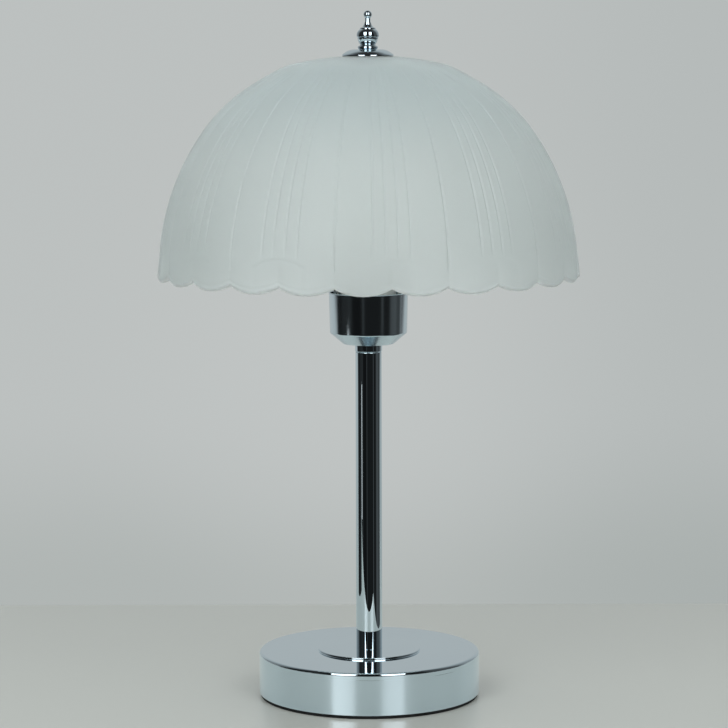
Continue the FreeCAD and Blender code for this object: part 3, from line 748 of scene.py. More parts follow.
def feedTree(piece, tree, values):
    # Adds a geometry tree and sets its inputs by the sockets' identifiers
    change = piece.modifiers.new(tree.name, "NODES")
    change.node_group = tree
    for item in tree.interface.items_tree:
        if item.item_type == "SOCKET" and item.in_out == "INPUT" and item.name in values:
            change[item.identifier] = values[item.name]


threadRule = makeThreadRule()


def threaded(name, path, finish, steps=96, **values):
    # A turned blank with the thread worked in, as a plain mesh
    blank = linked(name, turnedMesh(name, path, evenAngles(steps)))
    named = {key.replace("_", " "): value for key, value in values.items()}
    feedTree(blank, threadRule, {**named, "Finish": finishes[finish]})
    baked(blank)
    mesh = blank.data
    bpy.data.objects.remove(blank)
    return finished(name, mesh, sharpDegrees=50.0)


def column(radius, low, high, step):
    # Evenly spaced points up or down a straight wall
    count = max(1, round(abs(high - low) / step))
    return [(radius, low + (high - low) * k / count) for k in range(count + 1)]


# Lampholder

holderLooks = {
    "neckRadius": 8.0 * mm, "neckHeight": 3.0 * mm, "coneHeight": 5.0 * mm, "bore": 5.05 * mm,
    "wall": 1.6 * mm, "spigotGap": 0.05 * mm, "spigot": 1.5 * mm, "entry": 6.0 * mm,
    "lip": 2.0 * mm, "lipRadius": 14.2 * mm, "edgeRound": 0.8 * mm, "smallRound": 0.3 * mm,
    "beadHeight": 4.2 * mm, "beadDepth": 0.35 * mm,
    "threadPitch": 3.63 * mm, "threadDepth": 0.42 * mm, "threadRows": 12, "shellWall": 0.5 * mm,
}


def makeHolder():
    looks = holderLooks
    small = looks["smallRound"]
    radius, bottom, top = size("lampholder_body")
    inner = radius - looks["wall"]
    waist = radius - looks["beadDepth"]        # between the bead at the foot and the one at the mouth
    footBead = bottom + looks["beadHeight"]
    mouthBead = top - looks["beadHeight"]
    body = turned("holderBody", rounded([
        (radius, bottom, small),
        (radius, footBead, small),
        (waist, footBead + looks["beadDepth"], small),
        (waist, mouthBead - looks["beadDepth"], small),
        (radius, mouthBead, small),
        (radius, top, looks["edgeRound"]),
        (looks["lipRadius"], top, small),
        (looks["lipRadius"], top - looks["lip"]),
        (inner, top - looks["lip"]),
        (inner, bottom),
    ]))
    dress(body, "root", "holder_plastic", "lampholder_body")

    capRadius, capBottom, capTop = size("lampholder_cap")
    cone = capBottom + looks["neckHeight"]
    spigot = capRadius - looks["wall"] - looks["spigotGap"]
    cap = turned("holderCap", rounded([
        (looks["bore"], capBottom),
        (looks["neckRadius"], capBottom, small),
        (looks["neckRadius"], cone, looks["edgeRound"]),
        (capRadius, cone + looks["coneHeight"], looks["edgeRound"]),
        (capRadius, capTop - looks["spigot"], small),
        (spigot, capTop - looks["spigot"]),
        (spigot, capTop),
        (spigot - looks["wall"], capTop),
        (spigot - looks["wall"], cone + looks["coneHeight"]),
        (looks["neckRadius"], capBottom + looks["entry"]),
        (looks["bore"], capBottom + looks["entry"]),
    ]))
    dress(cap, "root", "holder_plastic", "lampholder_cap")

    shellRadius, shellBottom, shellTop = size("screw_shell")
    step = looks["threadPitch"] / looks["threadRows"]
    wall = looks["shellWall"]
    shell = threaded(
        "threadShell",
        column(shellRadius, shellBottom, shellTop, step)
        + column(shellRadius - wall, shellTop, shellBottom, step),
        "brass", Pitch=looks["threadPitch"], Depth=looks["threadDepth"] - wall / 2,
        Low=shellBottom, High=shellTop)
    dress(shell, "root", "brass", "screw_shell")


makeHolder()
print("lampholder made")


# Harp, shade rest and stud

harpLooks = {
    "wire": 1.6 * mm, "legX": 19.2 * mm, "halfWidth": 44.0 * mm, "bendAngle": 60.0, "legTop": 265.1 * mm,
    "bendSteps": 16, "archSteps": 36, "ringFacets": 10, "restRound": 0.35 * mm,
    "studPitch": 1.0 * mm, "studDepth": 0.5 * mm, "studRows": 8, "studBore": 3.05 * mm,
}


def harpLine():
    # The wire's middle line from the right foot over the top to the left foot
    looks = harpLooks
    low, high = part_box("harp")
    spread = looks["halfWidth"] - looks["legX"]
    turn = math.radians(looks["bendAngle"])
    bend = spread / (2 * (1 - math.cos(turn)))
    upper = looks["legTop"] + 2 * bend * math.sin(turn)
    arch = high.z - looks["wire"] - looks["halfWidth"]
    steps = looks["bendSteps"]
    side = [(looks["legX"], low.z)]
    side += swept((looks["legX"] + bend, looks["legTop"]), bend, 180, 180 - looks["bendAngle"], steps)
    side += swept((looks["halfWidth"] - bend, upper), bend, -looks["bendAngle"], 0, steps)[1:]
    side += swept((0.0, arch), looks["halfWidth"], 0, 90, looks["archSteps"])
    mirrored = [(-x, z) for x, z in reversed(side[:-1])]
    return [(x, 0.0, z) for x, z in side + mirrored]


def makeHarp():
    looks = harpLooks
    curve = bpy.data.curves.new("harpWire", "CURVE")
    curve.dimensions = "3D"
    line = harpLine()
    spline = curve.splines.new("POLY")
    spline.points.add(len(line) - 1)
    for point, place in zip(spline.points, line):
        point.co = (*place, 1.0)
    curve.bevel_depth = looks["wire"]
    curve.bevel_resolution = looks["ringFacets"]
    curve.use_fill_caps = True
    guide = linked("harpGuide", curve)
    mesh = bpy.data.meshes.new_from_object(guide.evaluated_get(bpy.context.evaluated_depsgraph_get()))
    bpy.data.objects.remove(guide)
    dress(finished("harpWire", mesh, sharpDegrees=60.0), "root", "plated_steel", "harp")

    radius, bottom, top = size("shade_rest")
    rest = turned("shadeRest", rounded([
        (looks["studBore"], bottom), (radius, bottom, looks["restRound"]),
        (radius, top, looks["restRound"]), (looks["studBore"], top)]), steps=128)
    dress(rest, "root", "plated_steel", "shade_rest")

    radius, bottom, top = size("shade_stud")
    chamfer = looks["studDepth"]
    stud = threaded(
        "shadeStud",
        [(0.0, bottom)] + column(radius, bottom, top - chamfer, looks["studPitch"] / looks["studRows"])
        + [(radius - chamfer, top), (0.0, top)],
        "plated_steel", steps=64, Pitch=looks["studPitch"], Depth=looks["studDepth"],
        Run_Out=looks["studPitch"], Low=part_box("upper_gasket")[1].z, High=top, Skin_Radius=radius / 2)
    dress(stud, "root", "plated_steel", "shade_stud")


makeHarp()
print("harp made")


# Soft rings, cap and finial

topLooks = {
    "studHole": 3.3 * mm, "gasketRound": 0.2 * mm, "gasketShare": 0.4, "capShoulder": 0.5 * mm,
    "capFlat": 8.6 * mm, "capBulge": 0.7 * mm, "capWall": 0.8 * mm, "capRound": 0.9 * mm,
}
finialLooks = {
    "bore": 3.85 * mm, "boreDepth": 8.4 * mm, "footHeight": 2.1 * mm, "waistRadius": 4.6 * mm,
    "waistHeight": 0.7 * mm, "bellRadius": 6.3 * mm, "bellHeight": 4.1 * mm, "bellBulge": 0.35 * mm,
    "bellyRadius": 6.6 * mm, "bellyHeight": 4.7 * mm, "bellyBulge": 0.8 * mm, "collarRadius": 4.7 * mm,
    "collarHeight": 0.8 * mm, "throatStart": 4.0 * mm, "throatRadius": 2.1 * mm, "throatHeight": 2.5 * mm,
    "throatBulge": -0.3 * mm, "taperHeight": 1.2 * mm, "neckRadius": 1.6 * mm, "ballRadius": 2.5 * mm,
    "footRadius": 6.1 * mm, "collarRound": 0.3 * mm,
}


def makeRingsAndCap():
    looks = topLooks
    gaskets = (("lower_gasket", "lowerGasket", "root"), ("upper_gasket", "upperGasket", "shade"))
    for node, name, body in gaskets:
        radius, bottom, top = size(node)
        edge = min(looks["gasketRound"], (top - bottom) * looks["gasketShare"])
        ring = turned(name, rounded([
            (looks["studHole"], bottom), (radius, bottom, edge),
            (radius, top, edge), (looks["studHole"], top)]), steps=128)
        dress(ring, body, "clear_ring", node)
    radius, bottom, top = size("shade_cap")
    wall = looks["capWall"]
    shoulder = bottom + looks["capShoulder"]
    slope = bowed((radius, shoulder), (looks["capFlat"], top), looks["capBulge"], count=16)[1:]
    under = bowed((looks["capFlat"] - wall / 2, top - wall), (radius - wall, shoulder),
                  -looks["capBulge"], count=20)
    edge = [(radius, bottom), (radius, shoulder, looks["capRound"])]
    cap = turned("shadeCap", rounded(edge + slope, facets=10)
                 + [(looks["studHole"], top), (looks["studHole"], top - wall)] + under
                 + [(radius - wall, bottom)])
    dress(cap, "shade", "chrome", "shade_cap")


def makeFinial():
    looks = finialLooks
    radius, bottom, top = size("finial")
    footRound = looks["footHeight"] / 2
    waist = bottom + looks["footHeight"] + looks["waistHeight"]
    bellTop = waist + looks["bellHeight"]
    step = looks["bellyRadius"] - looks["bellRadius"]
    bellyTop = bellTop + step + looks["bellyHeight"]
    collarTop = bellyTop + looks["collarHeight"]
    throatTop = collarTop + looks["throatHeight"]
    neckBottom = throatTop + looks["taperHeight"]
    join = math.degrees(math.acos(looks["neckRadius"] / looks["ballRadius"]))
    ball = (0.0, top - looks["ballRadius"])
    boreTop = bottom + looks["boreDepth"]
    corner = looks["collarRound"]
    knob = turned("finialKnob", [(looks["bore"], bottom)]
                  + swept((looks["footRadius"] - footRound, bottom + footRound), footRound, -90, 90)
                  + bowed((looks["waistRadius"], waist), (looks["bellRadius"], bellTop), looks["bellBulge"])
                  + bowed((looks["bellyRadius"], bellTop + step),
                          (looks["collarRadius"], bellyTop), looks["bellyBulge"], count=20)
                  + swept((looks["collarRadius"] - corner, collarTop - corner), corner, 0, 90, count=5)
                  + bowed((looks["throatStart"], collarTop),
                          (looks["throatRadius"], throatTop), looks["throatBulge"])
                  + [(looks["neckRadius"], neckBottom)]
                  + swept(ball, looks["ballRadius"], -join, 90, count=24)[:-1]
                  + [(0.0, top), (0.0, boreTop), (looks["bore"], boreTop)], steps=128)
    dress(knob, "finial", "chrome", "finial")


makeRingsAndCap()
makeFinial()
print("cap and finial made")


# Bulb

bulbLooks = {
    "radius": 30.0 * mm, "centre": 322.5 * mm, "wall": 1.2 * mm, "seam": 0.25 * mm, "domeSteps": 40,
    "neckRadius": 14.2 * mm, "footRadius": 11.85 * mm, "footDepth": 6.0 * mm, "housingBulge": -0.6 * mm,
    "housingSteps": 24, "ledge": 1.6 * mm, "capRoot": 12.3 * mm, "capWall": 0.4 * mm,
    "threadPitch": 3.63 * mm, "threadRows": 12,
}


def makeBulb():
    looks = bulbLooks
    centre = (0.0, looks["centre"])
    radius, join, top = size("bulb_diffuser")
    inner = looks["radius"] - looks["wall"]
    start = -math.degrees(math.asin((looks["centre"] - join) / looks["radius"]))
    innerStart = -math.degrees(math.asin((looks["centre"] - join) / inner))
    seam = looks["seam"]
    dome = swept(centre, looks["radius"], start, 90, looks["domeSteps"])
    lip = [(dome[0][0] - seam, dome[0][1]), (dome[0][0], dome[0][1] + seam)]
    crown = [(0.0, looks["centre"] + looks["radius"]), (0.0, looks["centre"] + inner)]
    inside = swept(centre, inner, 90, innerStart, looks["domeSteps"])[1:]
    diffuser = turned("bulbDiffuser", lip + dome[2:-1] + crown + inside)
    dress(diffuser, "bulb", "bulb_opal", "bulb_diffuser")

    joinRadius, bottom, join = size("bulb_housing")
    capTop = bottom + looks["footDepth"]
    innerNeck = looks["footRadius"] - looks["wall"]
    steps = looks["housingSteps"]
    housing = turned("bulbHousing", [(looks["footRadius"], bottom), (looks["footRadius"], capTop)]
                     + bowed((looks["neckRadius"], capTop), (joinRadius, join - seam),
                             looks["housingBulge"], steps)
                     + [(joinRadius - seam, join), (joinRadius - looks["wall"], join)]
                     + bowed((joinRadius - looks["wall"], join - looks["ledge"]), (innerNeck, capTop),
                             -looks["housingBulge"], steps)
                     + [(innerNeck, bottom)])
    dress(housing, "bulb", "bulb_white", "bulb_housing")

    radius, bottom, top = size("bulb_screw_cap")
    step = looks["threadPitch"] / looks["threadRows"]
    wall = looks["capWall"]
    sleeve = threaded(
        "bulbScrewCap",
        column(radius, bottom, top, step) + column(radius - wall, top, bottom, step),
        "bulb_tin", Pitch=looks["threadPitch"], Depth=radius - looks["capRoot"], Low=bottom, High=top)
    dress(sleeve, "bulb", "bulb_tin", "bulb_screw_cap")


makeBulb()
print("bulb made")


# Glass shade: a blank turned with its columns close together at the grooves, then shaped by a rule

shadeLooks = {
    "wall": 3.5 * mm, "widest": 125.6 * mm, "lean": 7.0, "band": 21.09 * mm,
    "arcs": ((146.0 * mm, 35.5), (100.3 * mm, 58.5), (240.0 * mm, 63.1), (36.3 * mm, 77.4)),
    "flatRadius": 17.0 * mm, "hole": 5.5 * mm,
    "bandRows": 26, "rowLength": 3.4 * mm, "innerShare": 0.6, "lipSteps": 12,
    "lobes": 24, "phase": 6.05, "scallop": 4.0 * mm, "bulge": 0.9 * mm, "blend": 24.0 * mm,
    "blendStart": 2.0 * mm, "bulgeBlend": 0.85,
    "grooveHalf": 0.9 * mm, "grooveDepth": 0.46 * mm, "groupPitch": 3.35, "grooveRunIn": 2.5 * mm,
    "singleLift": 12.5 * mm, "groupLift": 23.0 * mm, "grooveTop": (36.0 * mm, 60.0 * mm),
    "archPeak": 20.5 * mm, "archFall": 7.0 * mm, "archHalf": 9.0, "archDepth": 0.21 * mm,
    "archSoft": 0.7 * mm, "archSides": (0.8, 1.1), "archFoot": 6.0 * mm,
    "beadHeight": 3.2 * mm, "beadHalf": 0.9 * mm, "beadDepth": 0.22 * mm,
    "overGroove": (-0.7, -0.46, -0.23, 0.0, 0.23, 0.46, 0.7),
    "besideSingle": (1.3, 2.1, 3.0, 4.0, 5.0, 6.0, 6.9), "besideGroup": (0.0, 0.35, 3.35, 6.3, 6.9),
}


def pointing(degrees):
    angle = math.radians(degrees)
    return Vector((math.cos(angle), math.sin(angle)))


def shadeWall(offset, share=1.0):
    # Points of the wall from the rim's foot to the flat crown, moved in by offset. Share thins them out.
    looks = shadeLooks
    arcs = looks["arcs"]
    centre = Vector((looks["widest"] - arcs[0][0], 0.0))
    start = looks["lean"]
    stretches = []
    for number, (radius, end) in enumerate(arcs):
        stretches.append((centre.copy(), radius, start, end))
        joint = centre + radius * pointing(end)
        last = number + 1 == len(arcs)
        following = joint.x / math.cos(math.radians(end)) if last else arcs[number + 1][0]
        centre = joint - following * pointing(end)
        start = end
    flatAngle = math.degrees(math.acos(looks["flatRadius"] / following))
    stretches.append((centre.copy(), following, start, flatAngle))
    crown = centre.y + following * math.sin(math.radians(flatAngle))
    lift = size("glass_shade")[2] - crown
    lean = math.radians(looks["lean"])
    middle, radius = stretches[0][:2]
    top = Vector((middle.x, middle.y + lift)) + (radius - offset) * pointing(looks["lean"])
    length = (looks["band"] - looks["wall"] / 2) / math.cos(lean)
    rows = max(2, round(looks["bandRows"] * share))
    foot = top + length * Vector((math.sin(lean), -math.cos(lean)))
    points = [tuple(foot.lerp(top, row / rows)) for row in range(rows)]
    for middle, radius, low, high in stretches:
        arcLength = math.radians(high - low) * radius
        rows = max(2, round(arcLength / looks["rowLength"] * share))
        points += swept((middle.x, middle.y + lift), radius - offset, low, high, rows)[:-1]
    points.append(swept((middle.x, middle.y + lift), radius - offset, high, high, 1)[0])
    return points


def shadeAngles():
    # Columns round the shade: close together over each groove, wider between
    looks = shadeLooks
    pitch = 360.0 / looks["lobes"]
    dense = looks["overGroove"]
    single = set(dense) | {side * away for away in looks["besideSingle"] for side in (-1, 1)} | {pitch / 2}
    group = {side * away for away in looks["besideGroup"] for side in (-1, 1)} | {pitch / 2}
    for number in (-1.5, -0.5, 0.5, 1.5):
        group |= {round(number * looks["groupPitch"] + away, 4) for away in dense}
    angles = []
    for cusp in range(looks["lobes"]):
        middle = looks["phase"] + cusp * pitch
        angles += [math.radians(middle + offset) for offset in sorted(single if cusp % 2 else group)]
    return angles


def makeShadeRule(levels):
    looks = shadeLooks
    tree, given, result = newGroup(
        "pressed shade", "GeometryNodeTree",
        [("Blank", "Geometry", None)] + [(label, "Float", value) for label, value in levels.items()]
        + [("Finish", "Material", None)],
        [("Piece", "Geometry")])
    outside = put(tree, "GeometryNodeInputNamedAttribute", {"Name": "outside"}, data_type="FLOAT").outputs[0]
    parts, radius = fromAxis(tree)
    height = minus(tree, parts["Z"], given["Rim Level"])

    # Where a point stands between the cusps, in lobes
    angle = calc(tree, "ARCTAN2", parts["Y"], parts["X"])
    pitch = over(tree, 2 * math.pi, given["Lobe Count"])
    turns = over(tree, minus(tree, angle, given["Phase"]), pitch)
    cusp = calc(tree, "ROUND", turns)
    aside = minus(tree, turns, cusp)
    offCusp = times(tree, aside, pitch)
    odd = calc(tree, "MODULO", calc(tree, "ABSOLUTE", cusp), 2.0)

    # The scalloped edge: each lobe is an arc, deepest at its middle
    scallop = given["Scallop"]
    halfChord = times(tree, given["Rim Radius"], over(tree, pitch, 2.0))
    squares = plus(tree, times(tree, halfChord, halfChord), times(tree, scallop, scallop))
    lobeRadius = over(tree, squares, times(tree, scallop, 2.0))
    toMiddle = minus(tree, 1.0, times(tree, calc(tree, "ABSOLUTE", aside), 2.0))
    reach = times(tree, toMiddle, halfChord)
    under = minus(tree, times(tree, lobeRadius, lobeRadius), times(tree, reach, reach))
    edge = minus(tree, lobeRadius, calc(tree, "SQRT", under))
    valley = over(tree, edge, scallop)
    blendStart = looks["blendStart"]
    rise = times(tree, edge, ease(tree, height, blendStart, given["Blend"], 1.0, 0.0))
    bulgeEnd = times(tree, given["Blend"], looks["bulgeBlend"])
    swell = times(tree, valley, given["Bulge"], ease(tree, height, blendStart, bulgeEnd, 1.0, 0.0))
    inward = plus(tree, swell, times(tree, rise, given["Lean"]))

    # The grooves: one over an odd cusp, four over an even one
    shares = over(tree, offCusp, given["Group Pitch"])
    nearest = plus(tree, calc(tree, "FLOOR", shares), 0.5)
    nearest = highest(tree, calc(tree, "MINIMUM", nearest, 1.5), -1.5)
    offGroup = minus(tree, offCusp, times(tree, nearest, given["Group Pitch"]))
    offGroove = put(tree, "ShaderNodeMix", {0: odd, 2: offGroup, 3: offCusp}).outputs[0]
    lift = put(tree, "ShaderNodeMix", {0: odd, 2: given["Group Lift"], 3: given["Single Lift"]}).outputs[0]
    across = over(tree, times(tree, calc(tree, "ABSOLUTE", offGroove), radius), given["Groove Half"])
    risen = plus(tree, height, rise)
    opening = ease(tree, risen, lift, plus(tree, lift, looks["grooveRunIn"]))
    fading = ease(tree, radius, given["Fade In"], given["Fade Out"])
    groove = times(tree, ease(tree, across, 0.0, 1.0, 1.0, 0.0), opening, fading, given["Groove Depth"])

    # The shallow arched field over an even cusp, and the line above the rim
    share = over(tree, offCusp, given["Arch Half"])
    archEdge = minus(tree, given["Arch Peak"], times(tree, share, share, given["Arch Fall"]))
    inside = ease(tree, minus(tree, archEdge, risen), -looks["archSoft"], looks["archSoft"])
    sides = ease(tree, calc(tree, "ABSOLUTE", share), *looks["archSides"], 1.0, 0.0)
    foot = ease(tree, height, 0.0, looks["archFoot"])
    field = times(tree, inside, sides, foot, given["Arch Depth"], minus(tree, 1.0, odd))
    offBead = calc(tree, "ABSOLUTE", minus(tree, height, given["Bead Height"]))
    bead = times(tree, ease(tree, offBead, 0.0, given["Bead Half"], 1.0, 0.0), given["Bead Depth"])
    skin = times(tree, outside, plus(tree, groove, field, bead))

    pull = over(tree, plus(tree, inward, skin), times(tree, radius, -1.0))
    tree.links.new(shapedBlank(tree, given, parts, pull, rise), result["Piece"])
    return tree


def makeShade():
    looks = shadeLooks
    outer = shadeWall(0.0)
    inner = shadeWall(looks["wall"], share=looks["innerShare"])
    middle = (Vector(outer[0]) + Vector(inner[0])) / 2
    lip = swept(tuple(middle), looks["wall"] / 2, looks["lean"] - 180, looks["lean"], looks["lipSteps"])[1:-1]
    rim = outer + [(looks["hole"], outer[-1][1])]
    bore = [(looks["hole"], inner[-1][1])] + list(reversed(inner))
    angles = shadeAngles()
    mesh = turnedMesh("glassShade", lip + rim + bore, angles)
    outside = mesh.attributes.new("outside", "FLOAT", "POINT")
    onSkin = [0.0] * len(lip) + [1.0] * len(rim) + [0.0] * len(bore)
    outside.data.foreach_set("value", [value for value in onSkin for angle in angles])
    levels = {
        "Lobe Count": float(looks["lobes"]), "Phase": math.radians(looks["phase"]),
        "Scallop": looks["scallop"], "Bulge": looks["bulge"], "Blend": looks["blend"],
        "Rim Level": size("glass_shade")[1], "Rim Radius": outer[0][0],
        "Lean": math.tan(math.radians(looks["lean"])),
        "Groove Half": looks["grooveHalf"], "Groove Depth": looks["grooveDepth"],
        "Group Pitch": math.radians(looks["groupPitch"]),
        "Single Lift": looks["singleLift"], "Group Lift": looks["groupLift"],
        "Fade In": looks["grooveTop"][0], "Fade Out": looks["grooveTop"][1],
        "Arch Peak": looks["archPeak"], "Arch Fall": looks["archFall"],
        "Arch Half": math.radians(looks["archHalf"]), "Arch Depth": looks["archDepth"],
        "Bead Height": looks["beadHeight"], "Bead Half": looks["beadHalf"], "Bead Depth": looks["beadDepth"],
    }
    shade = linked("glassShade", mesh)
    feedTree(shade, makeShadeRule(levels), {**levels, "Finish": finishes["frosted_glass"]})
    baked(shade)
    mesh = shade.data
    bpy.data.objects.remove(shade)
    shade = finished("glassShade", mesh, sharpDegrees=50.0)
    print("glass shade made,", len(shade.data.polygons), "faces")
    dress(shade, "shade", "frosted_glass", "glass_shade")


makeShade()


# Nodes that keep their own shape and get a finish

keptNodes = {
    "base_weight": "cast_weight", "base_washer": "plated_steel", "base_nut": "plated_steel",
    "threaded_pipe": "plated_steel", "stem_locator": "black_plastic", "cup_washer": "plated_steel",
    "cup_nut": "plated_steel", "lampholder_core": "ceramic", "centre_contact": "brass",
    "terminal_screws": "brass", "harp_foot": "plated_steel", "finial_bush": "brass",
    "bulb_contact": "bulb_tin", "bulb_insulator": "black_plastic", "led_board": "board",
}
for name, finish in keptNodes.items():
    nodes[name].data.materials.clear()
    nodes[name].data.materials.append(finishes[finish])
print("kept nodes finished")


# Camera, floor, room and lights

cameraLooks = {                                # pitch in degrees, roll in radians
    "lens": 140.0, "sensor": 36.0, "place": (-0.00274, -1.69614, 0.40258), "pitch": 83.28, "roll": -0.0026,
}


def makeCamera():
    looks = cameraLooks
    camera = linked("camera", bpy.data.cameras.new("camera"))
    camera.data.lens = looks["lens"]
    camera.data.sensor_width = looks["sensor"]
    camera.data.dof.use_dof = False
    turn = Matrix.Rotation(math.radians(looks["pitch"]), 4, "X") @ Matrix.Rotation(looks["roll"], 4, "Z")
    camera.matrix_world = Matrix.Translation(looks["place"]) @ turn
    bpy.context.scene.camera = camera


# The table ends in front at tableFront, on the right at tableRight and on the left at tableLeft.
# A fade holds the two values between which it runs.
stageLooks = {
    "tableFront": -0.26, "tableRight": 0.20, "tableLeft": -0.31, "tableBack": 0.27, "half": 30.0,
    "slopeRight": 0.404, "slopeLeft": 0.287, "cornerSlope": 0.404,
    "table": (0.527, 0.542, 0.508, 1), "tableOther": (0.50, 0.516, 0.484, 1), "cloudScale": 3.0,
    # The table colour for mirrors is painted paler, standing in for light falling on it.
    "gloss": 1.0, "roughness": 0.30, "mirroredBlur": 0.03, "tablePaintedForMirrors": (0.62, 0.655, 0.62, 1),
    "backdropLow": (0.435, 0.465, 0.455, 1), "backdropHigh": (0.505, 0.53, 0.525, 1),
    # The backdrop's glow is a painted pool of light behind the lamp, and its right side gets painted shade.
    "wallFade": (0.20, 0.13), "glow": (0.53, 0.555, 0.55, 1), "glowBelow": 0.115, "glowReach": 0.12,
    "rightPaintedShade": (0.925, 0.935, 0.935, 1), "rightFade": (0.0, 0.13),
    "outerWall": (0.12, 0.12, 0.12, 1), "outerRight": (0.42, 0.68), "outerLeft": (-0.90, -0.60),
    "ceiling": (0.03, 0.03, 0.03, 1), "ceilingFade": (0.66, 0.98), "risingFade": (-0.02, 0.04),
    "besideFade": (0.3, 1.2), "leastDepth": 0.1, "bandTint": 0.945, "roomLight": 0.66, "roomTint": 0.97,
    "eyeHeight": 0.4026, "eyeBack": 1.696,
}


def sheet(name, corners, material):
    mesh = bpy.data.meshes.new(name)
    mesh.from_pydata(corners, [], [(0, 1, 2, 3)])
    mesh.materials.append(material)
    return linked(name, mesh)


def seenDirectly(tree):
    # 1 for what the camera, a mirror or glass sees, 0 for soft light
    path = put(tree, "ShaderNodeLightPath").outputs
    return highest(tree, path["Is Camera Ray"], path["Is Glossy Ray"], path["Is Transmission Ray"])


def makeBackdropColour(tree, parts):
    # Backdrop colour with painted light, on the floor's own stretch behind the table: paler higher up, a
    # painted pool of light behind the lamp, painted shade towards the right
    looks = stageLooks
    depth = plus(tree, parts["Y"], looks["eyeBack"])
    below = over(tree, looks["eyeHeight"], depth)
    aside = over(tree, parts["X"], depth)
    share = ease(tree, below, *looks["wallFade"])
    wall = blendColours(tree, share, looks["backdropLow"], looks["backdropHigh"])
    # painted pool of light: the backdrop is paler just behind the lamp
    off = minus(tree, below, looks["glowBelow"])
    away = calc(tree, "SQRT", plus(tree, times(tree, aside, aside), times(tree, off, off)))
    middle = blendColours(tree, ease(tree, away, looks["glowReach"], 0.0), wall, looks["glow"])
    # painted shade: the right side is darkened, but not where it is seen through the glass
    opaque = minus(tree, 1.0, put(tree, "ShaderNodeLightPath").outputs["Is Transmission Ray"])
    share = times(tree, ease(tree, aside, *looks["rightFade"]), opaque)
    dimmed = blendColours(tree, share, middle, looks["rightPaintedShade"], "MULTIPLY")
    outer = highest(tree, ease(tree, aside, *looks["outerRight"]),
                    ease(tree, aside, *looks["outerLeft"], 1.0, 0.0))
    return blendColours(tree, outer, dimmed, looks["outerWall"])


def makeHidden(tree, parts):
    # 1 where polished metal sees past the table's edges
    looks = stageLooks
    across = parts["X"]
    along = parts["Y"]
    front = calc(tree, "LESS_THAN", along, looks["tableFront"])
    right = times(tree, calc(tree, "GREATER_THAN", across, looks["tableRight"]),
                  calc(tree, "LESS_THAN", along, times(tree, across, looks["slopeRight"])))
    left = times(tree, calc(tree, "LESS_THAN", across, looks["tableLeft"]),
                 calc(tree, "LESS_THAN", along, times(tree, across, -looks["slopeLeft"])),
                 calc(tree, "GREATER_THAN", along, times(tree, across, looks["cornerSlope"])))
    return highest(tree, front, right, left)


def makeFloor():
    looks = stageLooks
    material, tree = emptyMaterial("plain floor")
    place = put(tree, "ShaderNodeNewGeometry").outputs["Position"]
    parts = axes(tree, place)
    cloud = noise(tree, place, looks["cloudScale"], Detail=4.0)
    tint = blendColours(tree, cloud, looks["table"], looks["tableOther"])
    # painted reflection: polished metal sees the table in a paler colour, and a little rougher
    mirrored = put(tree, "ShaderNodeLightPath").outputs["Is Glossy Ray"]
    tint = blendColours(tree, mirrored, tint, looks["tablePaintedForMirrors"])
    rough = calc(tree, "MULTIPLY_ADD", mirrored, looks["mirroredBlur"], looks["roughness"])
    table = put(tree, "ShaderNodeBsdfPrincipled", {
        "Base Color": tint, "Roughness": rough, "Specular IOR Level": looks["gloss"]})
    behind = put(tree, "ShaderNodeEmission", {"Color": makeBackdropColour(tree, parts)})
    backward = times(tree, calc(tree, "GREATER_THAN", parts["Y"], looks["tableBack"]), seenDirectly(tree))
    surface = put(tree, "ShaderNodeMixShader", {0: backward, 1: table.outputs[0], 2: behind.outputs[0]})
    hidden = times(tree, makeHidden(tree, parts), mirrored)
    clear = put(tree, "ShaderNodeBsdfTransparent")
    shown = put(tree, "ShaderNodeMixShader", {0: hidden, 1: surface.outputs[0], 2: clear.outputs[0]})
    put(tree, "ShaderNodeOutputMaterial", {"Surface": shown.outputs[0]})
    half = looks["half"]
    corners = [(-half, -half, 0), (half, -half, 0), (half, 2 * half, 0), (-half, 2 * half, 0)]
    floor = sheet("floor", corners, material)


# What polished metal sees of the room, by the angle from the front in degrees, right positive
roomBands = (
    (-180, 0.50), (-107, 0.48), (-105, 0.012), (-86, 0.012), (-84, 0.022), (-66, 0.024),
    (-59, 0.03), (-50, 0.022), (-48, 0.008), (-19, 0.008), (-17.5, 0.06), (-13, 0.03), (-11, 0.012),
    (38, 0.012), (40, 0.07), (43, 0.07), (45, 0.012), (64, 0.012), (70, 0.07), (88, 0.085), (94, 0.05),
    (106, 0.05), (113, 0.30), (124, 0.48), (180, 0.50),
)
upperBands = (                                 # above eye level the steps are softer
    (-180, 0.50), (-150, 0.48), (-136, 0.28), (-118, 0.24), (-95, 0.02), (-66, 0.024),
    (-59, 0.03), (-50, 0.022), (-48, 0.008), (-19, 0.008), (-17.5, 0.06), (-13, 0.03), (-11, 0.012),
    (38, 0.012), (40, 0.07), (43, 0.07), (45, 0.012), (64, 0.012), (70, 0.07), (88, 0.085), (100, 0.09),
    (122, 0.30), (138, 0.34), (150, 0.48), (180, 0.50),
)


def bandRamp(tree, share, bands):
    ramp = put(tree, "ShaderNodeValToRGB", {0: share})
    stops = ramp.color_ramp.elements
    stops.remove(stops[0])
    for number, (degrees, grey) in enumerate(bands):
        stop = stops[0] if number == 0 else stops.new(degrees / 360 + 0.5)
        stop.position = degrees / 360 + 0.5
        stop.color = (grey * stageLooks["bandTint"], grey, grey, 1)
    return ramp.outputs[0]


